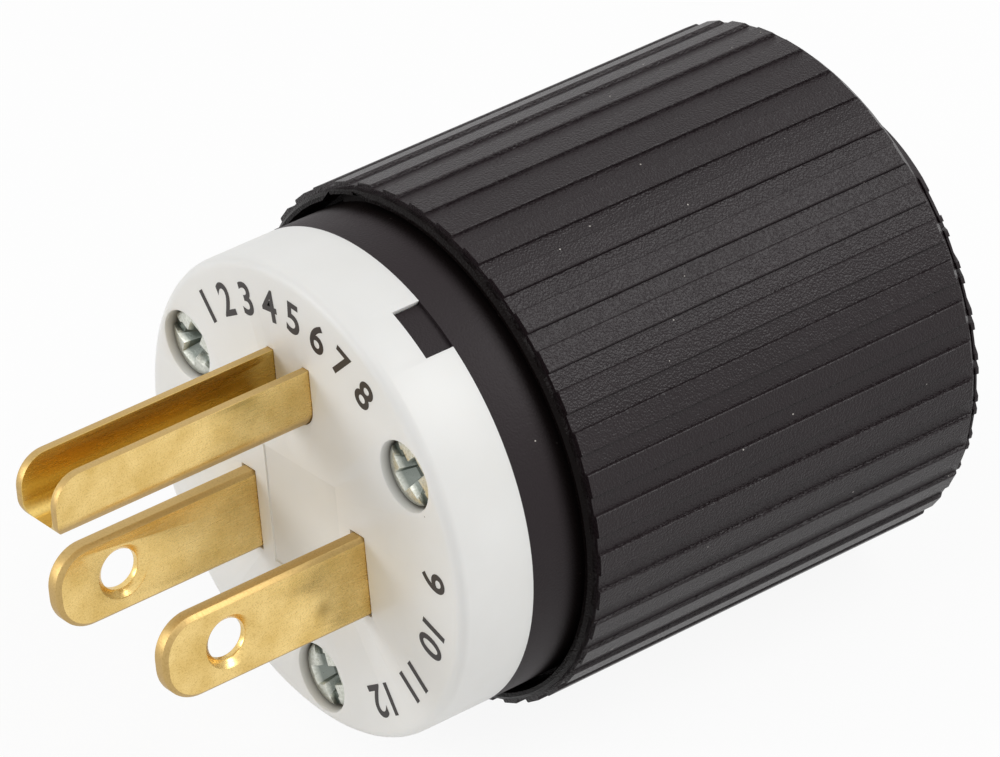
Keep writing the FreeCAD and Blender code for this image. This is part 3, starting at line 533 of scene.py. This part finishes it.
def keyed_to(radius, z):
    """The same, but bulging outwards where the keyway arches into the lip."""
    def move(p):
        off = abs((math.degrees(math.atan2(p.y, p.x)) - KEYWAY_ANGLE + 180) % 360 - 180)
        rise = (KEYWAY_HALF + KEYWAY_EASE - off) / KEYWAY_RAMP
        bulge = KEYWAY_DEPTH * min(1.0, max(0.0, rise))
        return Vector((p.x, p.y, 0)).normalized() * (radius + bulge) + Vector((0, 0, z))
    return move


def slot_to(z):
    """A move that puts a point on the outline of the oblong clamp opening in the rear wall."""
    def move(p):
        turn = math.atan2(p.y, p.x)
        to_side = SLOT_HALF_X / max(TINY, abs(math.cos(turn)))
        to_end = SLOT_HALF_Y / max(TINY, abs(math.sin(turn)))
        reach = min(to_side, to_end)
        return Vector((reach * math.cos(turn), reach * math.sin(turn), z))
    return move


def rear_bevel(p):
    """Where the rear bevel starts: further forward on a ridge than in a groove."""
    radius = Vector((p.x, p.y, 0)).length
    return Vector((p.x, p.y, REAR + radius - (RIDGE_R - REAR_BEVEL)))


print("ridges stand", round(RIDGE_R - BARREL_R, 2), "mm above the grooves")

# %% [markdown]
# ## The ribbed barrel
# The first ring has four points to each ridge: two on its top and two in the groove that follows, set
# in a little, since a mould needs draft. From it one chain of rings runs back to the rear rim, and the
# other over the lip, down the bore and through the rear wall, until the two ends are bridged. The ridge
# edges are then beveled by less than a tenth of a millimetre, as a mould leaves them.

# %% Barrel skin
RIDGES, RIDGE_SHARE, RIDGE_PHASE, RIDGE_DRAFT, RIDGE_EDGE = 40, 0.53, 4.5, 0.22, 0.06
LIP_FRONT, RIDGE_FRONT, LEDGE, REAR_WALL = -10.2, -10.8, -13.1, -42.6
LIP_BAND_R, LIP_BEVEL, INNER_BEVEL = 19.12, 0.25, 0.175
LONG_EDGE, RIDGE_TOP_ABOVE = 5.0, 0.2


def ribbed_barrel():
    bm = bmesh.new()
    ring = bmesh.ops.create_circle(bm, cap_ends=False, radius=BARREL_R, segments=4 * RIDGES)["verts"]
    pitch = 360 / RIDGES
    top = pitch * RIDGE_SHARE / 2
    foot = top + RIDGE_DRAFT
    corners = ((-top, RIDGE_R), (top, RIDGE_R), (foot, BARREL_R), (pitch - foot, BARREL_R))
    for count, point in enumerate(ring):
        offset, radius = corners[count % 4]
        point.co = at_angle(radius, RIDGE_PHASE + (count // 4) * pitch + offset, RIDGE_FRONT)
    front = list(bm.edges)
    back = pushed(bm, front, rear_bevel)
    long_edges = [e for e in bm.edges if abs(e.verts[0].co.z - e.verts[1].co.z) > LONG_EDGE
                  and Vector(e.verts[0].co[:2]).length > BARREL_R + RIDGE_TOP_ABOVE]
    back = pushed(bm, back, round_to(RIDGE_R - REAR_BEVEL, REAR))
    lip = front
    for move in (round_to(LIP_BAND_R, RIDGE_FRONT), round_to(LIP_BAND_R, LIP_FRONT - LIP_BEVEL),
                 round_to(LIP_BAND_R - LIP_BEVEL, LIP_FRONT), keyed_to(LIP_R + INNER_BEVEL, LIP_FRONT),
                 keyed_to(LIP_R, LIP_FRONT - LIP_BEVEL), keyed_to(LIP_R, LEDGE), round_to(INNER_R, LEDGE),
                 round_to(INNER_R, REAR_WALL), slot_to(REAR_WALL), slot_to(REAR)):
        lip = pushed(bm, lip, move)
    bmesh.ops.bridge_loops(bm, edges=lip + back)
    bmesh.ops.bevel(bm, geom=long_edges, offset=RIDGE_EDGE, offset_type="OFFSET", segments=1, profile=0.5,
                    affect="EDGES", clamp_overlap=True, material=-1)
    return bm


barrel = ribbed_barrel()
print("barrel open edges:", sum(1 for e in barrel.edges if len(e.link_faces) != 2))

# %% [markdown]
# ## Screw bosses
# Inside the barrel three bosses carry the threaded inserts. Each is a small turned tube, sunk a little
# into the wall, so it is spun about its own axis and moved to its place on the screw circle.

# %% Screw bosses inside the barrel
SCREW_R, SCREW_ANGLES = 14.55, (30.0, 150.0, 270.0)
SHANK_R, SHANK_ROOM = 1.45, 0.2
BOSS_R, BOSS_FRONT, BOSS_END, BOSS_STEPS = 3.2, -29.2, -37.5, 32
INSERT_R, INSERT_END, TIP_ROOM = 2.3, -35.2, 0.9

for angle in SCREW_ANGLES:
    boss = bmesh.new()
    turned(boss, [(INSERT_R, INSERT_END), (INSERT_R, BOSS_FRONT), (BOSS_R, BOSS_FRONT), (BOSS_R, BOSS_END),
                  (0, BOSS_END), (0, INSERT_END - TIP_ROOM), (SHANK_R + SHANK_ROOM, INSERT_END - TIP_ROOM),
                  (SHANK_R + SHANK_ROOM, INSERT_END), (INSERT_R, INSERT_END)], BOSS_STEPS)
    bmesh.ops.translate(boss, verts=boss.verts, vec=at_angle(SCREW_R, angle))
    joined(barrel, boss)
show("barrel_ribbed", lay(barrel, "barrel_ribbed"), GRAIN_NYLON, "black_grain", "housing")

# %% [markdown]
# ## What is cut from the face
# Slots for the contacts, screw wells, a shallow panel between the blades and a key notch are cut into
# the face. Each could be modelled into its skin, but cutters are simpler to read and to change: blocks,
# turned plugs and one folded outline, all gathered in one bench model.

# %% Cutters for the face
WELL_R, WELL_MOUTH, WELL_DEPTH, MOUTH_ROUND, WELL_STEPS = 2.6, 0.25, 2.7, 0.07, 48
BLADE_X, BLADE_HALF, BLADE_THICK = 6.35, 3.175, 1.52
PIN_Y, PIN_HALF_WIDTH, PIN_HALF_HEIGHT, PIN_SHEET, PIN_BEND, BEND_STEPS = 8.96, 2.39, 2.4, 0.68, 1.8, 6
KEY_ANGLE, KEY_WIDTH, KEY_TOP, KEY_ROOT_R, KEY_PAST = 59.0, 4.15, -3.9, 16.5, 2.0
PANEL_X, PANEL_LOW, PANEL_HIGH, PANEL_DEPTH = 4.2, -6.7, 2.85, 0.12
FIT, CUT_FROM, CUT_TO = 0.06, -9.0, 1.0


def block(bm, low, high):
    """A box between two corners."""
    low, high = Vector(low), Vector(high)
    made = bmesh.ops.create_cube(bm, size=1.0)["verts"]
    bmesh.ops.scale(bm, vec=high - low, verts=made)
    bmesh.ops.translate(bm, vec=(low + high) / 2, verts=made)


def channel_cutter(bm):
    """Folded outline of the ground pin, a little larger, pushed through the face."""
    half, low, high = PIN_HALF_WIDTH + FIT, PIN_Y - PIN_HALF_HEIGHT - FIT, PIN_Y + PIN_HALF_HEIGHT + FIT
    wall = PIN_SHEET + 2 * FIT
    outline = [(half, high), (half, low), (-half, low), (-half, high), (-half + wall, high),
               (-half + wall, low + wall), (half - wall, low + wall), (half - wall, high)]
    floor = bm.faces.new([bm.verts.new((x, y, CUT_FROM)) for x, y in outline])
    corners = list(floor.verts)
    for corner, radius in ((corners[1], PIN_BEND), (corners[2], PIN_BEND),
                           (corners[5], PIN_BEND - PIN_SHEET), (corners[6], PIN_BEND - PIN_SHEET)):
        bmesh.ops.bevel(bm, geom=[corner], offset=radius, offset_type="OFFSET", segments=BEND_STEPS,
                        profile=0.5, affect="VERTICES", material=-1)
    face = [f for f in bm.faces if all(abs(v.co.z - CUT_FROM) < TINY for v in f.verts)]
    lifted = bmesh.ops.extrude_face_region(bm, geom=face)["geom"]
    bmesh.ops.translate(bm, vec=(0, 0, CUT_TO - CUT_FROM),
                        verts=[g for g in lifted if isinstance(g, bmesh.types.BMVert)])


def well_cutter():
    """A turned plug for one screw well: a wide mouth, a flat seat and a hole for the shank."""
    well = bmesh.new()
    turned(well, [(0, CUT_TO), (WELL_R + WELL_MOUTH, CUT_TO), (WELL_R + WELL_MOUTH, 0),
                  (WELL_R + MOUTH_ROUND, -MOUTH_ROUND), (WELL_R, -WELL_MOUTH), (WELL_R, -WELL_DEPTH),
                  (SHANK_R + SHANK_ROOM, -WELL_DEPTH), (SHANK_R + SHANK_ROOM, CUT_FROM), (0, CUT_FROM)],
           WELL_STEPS)
    return well


def face_cutters():
    tools = bmesh.new()
    channel_cutter(tools)
    half_slot = BLADE_THICK / 2 + FIT
    for x in (-BLADE_X, BLADE_X):
        block(tools, (x - half_slot, BLADE_Y - BLADE_HALF - FIT, CUT_FROM),
              (x + half_slot, BLADE_Y + BLADE_HALF + FIT, CUT_TO))
    for angle in SCREW_ANGLES:
        well = well_cutter()
        bmesh.ops.translate(well, verts=well.verts, vec=at_angle(SCREW_R, angle))
        joined(tools, well)
    notch = bmesh.new()
    block(notch, (KEY_ROOT_R, -KEY_WIDTH / 2, CUT_FROM), (FACE_R + KEY_PAST, KEY_WIDTH / 2, KEY_TOP))
    turn_round(notch, KEY_ANGLE)
    joined(tools, notch)
    block(tools, (-PANEL_X, PANEL_LOW, -PANEL_DEPTH), (PANEL_X, PANEL_HIGH, CUT_TO))
    return tools


cutters = face_cutters()
print("face cutters have", len(cutters.faces), "faces")

# %% [markdown]
# ## The pale face
# The face is a turned cap with a soft rim. Cutting is what a Boolean modifier does well, so the cutters
# go through one, and a fine Bevel modifier after it takes the knife edge off every cut. The result is
# read back as a plain mesh, and the two helper objects are thrown away.

# %% Face cap, carved
RIM_ROUND, RIM_STEPS, FACE_THICK, SOCKET_R, FACE_STEPS = 0.8, 6, 4.6, 16.8, 160
FACE_EDGE, FACE_SHARP = 0.06, 50


def carved(bm, tools, edge, sharp):
    """Cut one bench model with another, then bevel what is sharper than the angle in degrees."""
    objects = []
    for name, model in (("carve_body", bm), ("carve_tools", tools)):
        bmesh.ops.recalc_face_normals(model, faces=model.faces)
        mesh = bpy.data.meshes.new(name)
        model.to_mesh(mesh)
        model.free()
        objects.append(bpy.data.objects.new(name, mesh))
        bpy.context.scene.collection.objects.link(objects[-1])
    body, cutter = objects
    cut = body.modifiers.new("cut", "BOOLEAN")
    cut.operation, cut.solver, cut.object, cut.use_self = "DIFFERENCE", "EXACT", cutter, True
    soften = body.modifiers.new("soften", "BEVEL")
    soften.width, soften.segments, soften.limit_method = edge, 2, "ANGLE"
    soften.angle_limit = math.radians(sharp)
    result = bpy.data.meshes.new_from_object(body.evaluated_get(bpy.context.evaluated_depsgraph_get()))
    made = bmesh.new()
    made.from_mesh(result)
    for piece in objects:
        bpy.data.objects.remove(piece)
    bpy.data.meshes.remove(result)
    return made


def face_cap(tools):
    bm = bmesh.new()
    rim = []
    for step in range(RIM_STEPS + 1):
        turn = math.pi / 2 * step / RIM_STEPS
        rim.append((FACE_R - RIM_ROUND + RIM_ROUND * math.sin(turn), RIM_ROUND * math.cos(turn) - RIM_ROUND))
    back = [(FACE_R, -FACE_BACK), (SOCKET_R, -FACE_BACK), (SOCKET_R, -FACE_THICK), (0, -FACE_THICK)]
    turned(bm, [(0, 0)] + rim + back, FACE_STEPS)
    return carved(bm, tools, FACE_EDGE, FACE_SHARP)


show("face_cap", lay(face_cap(cutters), "face_cap"), PALE_NYLON, "white_nylon", "face")

# %% [markdown]
# ## Pieces whose solids already have the right form
# The collar, the blades, the ground pin, the clamp jaws and the small terminal parts need no new shape,
# only soft edges and smooth shading. A solid's mesh is loose triangles, so a copy is merged first, the
# flat triangles are dissolved into whole faces, and the remaining sharp edges get a small round bevel.

# %% Soften a copy of a solid
SHARP_ABOVE, FLAT_BELOW, MERGE_WITHIN = math.radians(40), math.radians(0.5), 0.002
COLLAR_EDGE, BLADE_EDGE, JAW_EDGE = 0.06, 0.035, 0.12


def softened(node, edge, name, material, slot):
    """Show a copy of a solid with its sharp edges beveled by so many millimetres, or not at all."""
    bm = bmesh.new()
    bm.from_mesh(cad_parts[node].data)
    bmesh.ops.remove_doubles(bm, verts=bm.verts, dist=MERGE_WITHIN * MM)
    bmesh.ops.dissolve_limit(bm, angle_limit=FLAT_BELOW, use_dissolve_boundaries=False,
                             verts=bm.verts, edges=bm.edges)
    if edge:
        sharp = [e for e in bm.edges if len(e.link_faces) == 2 and e.calc_face_angle(0) > SHARP_ABOVE]
        bmesh.ops.bevel(bm, geom=sharp, offset=edge * MM, offset_type="OFFSET", segments=2, profile=0.5,
                        affect="EDGES", clamp_overlap=True, material=-1)
    show(name, to_mesh(bm, name), material, slot, node)


softened("terminal_body", COLLAR_EDGE, "terminal_collar", COLLAR_NYLON, "black_nylon")
for node in ("blade_line", "blade_neutral", "ground_pin"):
    softened(node, BLADE_EDGE, node + "_stamped", BRASS, "brass")
for side in ("right", "left"):
    softened("clamp_jaw_" + side, JAW_EDGE, "cord_jaw_" + side, JAW_NYLON, "black_nylon")

# %% [markdown]
# ## Terminal parts
# Wires would be held inside by square plates under three screws, and the long screws run into turned
# brass inserts. Hardly any of this shows, so the solids' own forms are kept and only given their metals.

# %% The terminal parts and the inserts inside
PLATE_EDGE, UNSOFTENED = 0.05, 0.0

for wire, plating, slot in (("line", TURNED_BRASS, "brass_screw"), ("neutral", NICKEL, "nickel_screw"),
                            ("ground", GREEN_PLATE, "green_screw")):
    softened("terminal_screw_" + wire, UNSOFTENED, "wire_screw_" + wire, plating, slot)
    softened("pressure_plate_" + wire, PLATE_EDGE, "wire_plate_" + wire, ZINC, "plated_steel")
for count in (1, 2, 3):
    softened("threaded_insert_%d" % count, UNSOFTENED, "insert_%d" % count, TURNED_BRASS, "brass_screw")
for end in ("upper", "lower"):
    softened("clamp_screw_" + end, PLATE_EDGE, "jaw_screw_" + end, ZINC, "zinc_screw")

# %% [markdown]
# ## Assembly screws
# Three plated screws sit in the wells. Their heads take a flat or a cross driver, so a straight slot
# runs right across and a tapered cross sinks deeper in the middle. The head is turned, the recess is
# carved with a Boolean, and every screw is turned to its own angle, as a real one stops where it stops.

# %% Screw heads with a slot and a cross
HEAD_R, HEAD_TOP, HEAD_SEAT, HEAD_CROWN, CROWN_STEPS, HEAD_STEPS = 2.4, -0.45, -2.7, 0.25, 8, 48
SLOT_WIDTH, SLOT_DEPTH, SLOT_PAST = 1.05, 0.5, 1.0
CROSS_WIDTH, CROSS_REACH, CROSS_DEPTH, CROSS_TAPER, CROSS_PAST = 1.7, 2.0, 1.3, 0.45, 0.4
SCREW_END, SCREW_POINT, RECESS_EDGE, RECESS_SHARP = -35.6, 0.5, 0.05, 40
SCREW_TURNS = (-47.0, -26.0, -67.0)


def driver_recess(top):
    """Cutters for a head: a slot right across and two arms that narrow as they sink."""
    tools = bmesh.new()
    block(tools, (-HEAD_R - SLOT_PAST, -SLOT_WIDTH / 2, top - SLOT_DEPTH),
          (HEAD_R + SLOT_PAST, SLOT_WIDTH / 2, top + SLOT_PAST))
    for turn in (0, 90):
        arm = bmesh.new()
        block(arm, (-CROSS_REACH, -CROSS_WIDTH / 2, top - CROSS_DEPTH),
              (CROSS_REACH, CROSS_WIDTH / 2, top + CROSS_PAST))
        deep = [v for v in arm.verts if v.co.z < top - CROSS_DEPTH / 2]
        bmesh.ops.scale(arm, vec=(CROSS_TAPER, CROSS_TAPER, 1), verts=deep)
        turn_round(arm, turn)
        joined(tools, arm)
    return tools


def long_screw(turn):
    """A crowned head, a plain shank for the thread and a blunt point."""
    bm = bmesh.new()
    crown = []
    for step in range(CROWN_STEPS + 1):
        lean = math.radians(90 * step / CROWN_STEPS)
        crown.append((HEAD_R * math.sin(lean), HEAD_TOP - HEAD_CROWN * (1 - math.cos(lean))))
    shank = [(HEAD_R, HEAD_SEAT), (SHANK_R, HEAD_SEAT), (SHANK_R, SCREW_END + SCREW_POINT),
             (SHANK_R - SCREW_POINT, SCREW_END), (0, SCREW_END)]
    turned(bm, crown + shank, HEAD_STEPS)
    made = carved(bm, driver_recess(HEAD_TOP), RECESS_EDGE, RECESS_SHARP)
    turn_round(made, turn)
    return made


for count, (angle, turn) in enumerate(zip(SCREW_ANGLES, SCREW_TURNS), 1):
    screw = long_screw(turn)
    bmesh.ops.translate(screw, verts=screw.verts, vec=at_angle(SCREW_R, angle))
    name = "long_screw_%d" % count
    show(name, lay(screw, name), WORN_SHADED_ZINC, "zinc_screw", "assembly_screw_%d" % count)

# %% [markdown]
# ## Printing ink
# The face is printed near its rim with black ink from a soft pad, which lies thinner in places. Noise
# between two near blacks gives that.

# %% Pad-printed ink
INK_DARK, INK_THIN, INK_SPOT = "#1C1817", "#3A3330", 0.25
INK_SMOOTHEST, INK_ROUGHEST, INK_IOR = 0.45, 0.65, 1.5


def pad_printed_ink():
    """Printed ink: a flat, slightly uneven black."""
    material, tree, place = start_material("pad_printed_ink")
    thin = add_node(tree, "ShaderNodeTexNoise", {},
                    {"Vector": place, "Scale": per_mm(INK_SPOT), "Detail": 3.0})
    colour = add_node(tree, "ShaderNodeMix", {"data_type": "RGBA"},
                      {0: thin.outputs[0], 6: linear(INK_DARK), 7: linear(INK_THIN)})
    rough = add_node(tree, "ShaderNodeMapRange", {}, {0: thin.outputs[0], 3: INK_SMOOTHEST, 4: INK_ROUGHEST})
    shader = add_node(tree, "ShaderNodeBsdfPrincipled", {},
                      {"Base Color": colour.outputs[2], "Roughness": rough.outputs[0], "IOR": INK_IOR})
    add_node(tree, "ShaderNodeOutputMaterial", {}, {"Surface": shader.outputs[0]})
    return material


INK = pad_printed_ink()
print("made", INK.name)

# %% [markdown]
# ## Numbers on the face
# Plain numbers stand one by one along two arcs, with their tops outwards. Text is made a mesh first,
# then scaled to the printed height and laid on the face a hundredth of a millimetre proud, about as
# thick as pad-printed ink.

# %% Printed numbers
INK_R, INK_HEIGHT, INK_LIFT, INK_BOLD = 15.0, 2.5, 0.012, 0.02
FIRST_START, FIRST_PITCH, FIRST_COUNT = 128.0, 10.6, 8
SECOND_START, SECOND_PITCH, SECOND_COUNT = 0.0, 20.0, 4


def numeral(text):
    """A flat number as a bench model, centred on the origin, at the printed height."""
    curve = bpy.data.curves.new("numeral", "FONT")
    curve.body = text
    curve.offset = INK_BOLD
    letter = bpy.data.objects.new("numeral", curve)
    bpy.context.scene.collection.objects.link(letter)
    mesh = bpy.data.meshes.new_from_object(letter.evaluated_get(bpy.context.evaluated_depsgraph_get()))
    bpy.data.objects.remove(letter)
    bm = bmesh.new()
    bm.from_mesh(mesh)
    bpy.data.meshes.remove(mesh)
    xs, ys = [v.co.x for v in bm.verts], [v.co.y for v in bm.verts]
    bmesh.ops.translate(bm, vec=(-(min(xs) + max(xs)) / 2, -(min(ys) + max(ys)) / 2, 0), verts=bm.verts)
    bmesh.ops.scale(bm, vec=(INK_HEIGHT / (max(ys) - min(ys)),) * 3, verts=bm.verts)
    return bm


def number_ring(placed):
    """The given (text, angle) pairs as one bench model."""
    bm = bmesh.new()
    for text, angle in placed:
        mark = numeral(text)
        turn_round(mark, angle - 90)
        bmesh.ops.translate(mark, verts=mark.verts, vec=at_angle(INK_R, angle, INK_LIFT))
        joined(bm, mark)
    return bm


FIRST_ARC = [(str(1 + k), FIRST_START - FIRST_PITCH * k) for k in range(FIRST_COUNT)]
SECOND_ARC = [(str(1 + FIRST_COUNT + k), SECOND_START - SECOND_PITCH * k) for k in range(SECOND_COUNT)]
numbers = number_ring(FIRST_ARC + SECOND_ARC)
bmesh.ops.transform(numbers, matrix=LAY_DOWN, verts=numbers.verts)
show("face_numbers", to_mesh(numbers, "face_numbers"), INK, "black_nylon")

# %% [markdown]
# ## Camera
# The camera stands where a long lens would see the blades, the face and the ridges as the photograph
# does. Its place and turn are fixed numbers, found once by matching points of the solids to the picture.

# %% Camera
CAMERA_AT = Vector((0.34767, FACE_Y - 0.22915, 0.26680))
CAMERA_AZIMUTH, CAMERA_ELEVATION, CAMERA_ROLL = 54.634, 29.855, -4.978
CAMERA_LENS, SENSOR, NEAREST, FARTHEST = 251.76, 36.0, 0.01, 20.0


def photo_camera():
    """A camera at the named place and angles, in degrees, made the scene's own."""
    azimuth, elevation = math.radians(CAMERA_AZIMUTH), math.radians(CAMERA_ELEVATION)
    back = Vector((math.sin(azimuth) * math.cos(elevation), -math.cos(azimuth) * math.cos(elevation),
                   math.sin(elevation)))
    level = (-back).to_track_quat("-Z", "Y").to_matrix()
    data = bpy.data.cameras.new("photo_camera")
    data.lens, data.sensor_width, data.sensor_fit = CAMERA_LENS, SENSOR, "HORIZONTAL"
    data.clip_start, data.clip_end = NEAREST, FARTHEST
    eye = bpy.data.objects.new("photo_camera", data)
    rolled = level @ Matrix.Rotation(math.radians(CAMERA_ROLL), 3, "Z")
    eye.matrix_world = Matrix.Translation(CAMERA_AT) @ rolled.to_4x4()
    bpy.context.scene.collection.objects.link(eye)
    bpy.context.scene.camera = eye
    return eye


print("camera at", [round(c, 4) for c in photo_camera().location])

# %% [markdown]
# ## Light
# Soft light comes from three round panels. One hangs above on the camera's side and one stands to the
# left, for the face and the brass. The third stands high on the right by the rear of the barrel, where
# its mirror image lies on the ridges, so it draws the sheen that shows the leather grain. Large panels
# are used because small ones would sparkle.

# %% Lamps
MIDDLE = Vector((0.0, 0.0, AXIS_Z))


def panel_lamp(name, at, width, watts):
    """A round panel, in metres, turned to the middle of the plug."""
    data = bpy.data.lights.new(name, "AREA")
    data.shape, data.size, data.energy = "DISK", width, watts
    lamp = bpy.data.objects.new(name, data)
    lamp.location = at
    lamp.rotation_mode = "QUATERNION"
    lamp.rotation_quaternion = (MIDDLE - Vector(at)).to_track_quat("-Z", "Y")
    bpy.context.scene.collection.objects.link(lamp)
    print(name, watts, "W")


panel_lamp("panel_above", at=(0.15, -0.25, 0.62), width=0.40, watts=0.55)
panel_lamp("panel_left", at=(-0.35, -0.55, 0.25), width=0.35, watts=1.35)
panel_lamp("panel_behind", at=(0.35, 0.35, 0.50), width=0.40, watts=2.0)

# %% [markdown]
# ## Surround
# The picture has a plain white ground. A world that is white where it is seen, directly or as a mirror
# image, and dimmer for the light it sheds, gives that without washing out the face.

# %% White surround
WHITE, SURROUND_LIGHT = "#FFFFFF", 0.45


def seen_directly(tree):
    """1 for what is seen itself, in gloss or through glass, 0 for what only lights the plug."""
    path = add_node(tree, "ShaderNodeLightPath", {}, {})
    both = add_node(tree, "ShaderNodeMath", {"operation": "MAXIMUM"},
                    {0: path.outputs["Is Camera Ray"], 1: path.outputs["Is Glossy Ray"]})
    return add_node(tree, "ShaderNodeMath", {"operation": "MAXIMUM"},
                    {0: both.outputs[0], 1: path.outputs["Is Transmission Ray"]}).outputs[0]


def white_surround():
    world = bpy.data.worlds.new("white_surround")
    bpy.context.scene.world = world
    world.use_nodes = True
    tree = world.node_tree
    tree.nodes.clear()
    level = add_node(tree, "ShaderNodeMapRange", {}, {0: seen_directly(tree), 3: SURROUND_LIGHT, 4: 1.0})
    sky = add_node(tree, "ShaderNodeBackground", {}, {"Color": linear(WHITE), "Strength": level.outputs[0]})
    add_node(tree, "ShaderNodeOutputWorld", {}, {"Surface": sky.outputs[0]})


white_surround()
bpy.context.scene.view_settings.view_transform = "Standard"
print("surround sheds", SURROUND_LIGHT, "of the white that it shows")

# %% [markdown]
# ## Floor
# The plug lies on white paper. To the eye most of the paper's white is its own glow, and only the rest
# is lit, so a faint soft shadow stays and the plug sits on it. In mirror images it glows a little less,
# and as a source of light it doesn't glow at all.

# %% White floor
PAPER, FLOOR_SIZE, FLOOR_GLOW, FLOOR_GLOSS = "#F7F7F7", 6.0, 0.92, 0.8


def white_floor():
    bm = bmesh.new()
    bmesh.ops.create_grid(bm, x_segments=1, y_segments=1, size=FLOOR_SIZE / 2)
    floor = bpy.data.objects.new("floor", to_mesh(bm, "floor"))
    bpy.context.scene.collection.objects.link(floor)
    material, tree, place = start_material("white_paper")
    paper = add_node(tree, "ShaderNodeBsdfDiffuse", {}, {"Color": linear(PAPER)})
    glow = add_node(tree, "ShaderNodeEmission", {}, {"Color": linear(WHITE), "Strength": 1.0})
    path = add_node(tree, "ShaderNodeLightPath", {}, {})
    glossy = add_node(tree, "ShaderNodeMath", {"operation": "MULTIPLY"},
                      {0: path.outputs["Is Glossy Ray"], 1: FLOOR_GLOSS})
    share = add_node(tree, "ShaderNodeMath", {"operation": "MULTIPLY_ADD"},
                     {0: path.outputs["Is Camera Ray"], 1: FLOOR_GLOW, 2: glossy.outputs[0]})
    shader = add_node(tree, "ShaderNodeMixShader", {},
                      {0: share.outputs[0], 1: paper.outputs[0], 2: glow.outputs[0]})
    add_node(tree, "ShaderNodeOutputMaterial", {}, {"Surface": shader.outputs[0]})
    floor.data.materials.append(material)


white_floor()
print("floor is", FLOOR_SIZE, "m across")
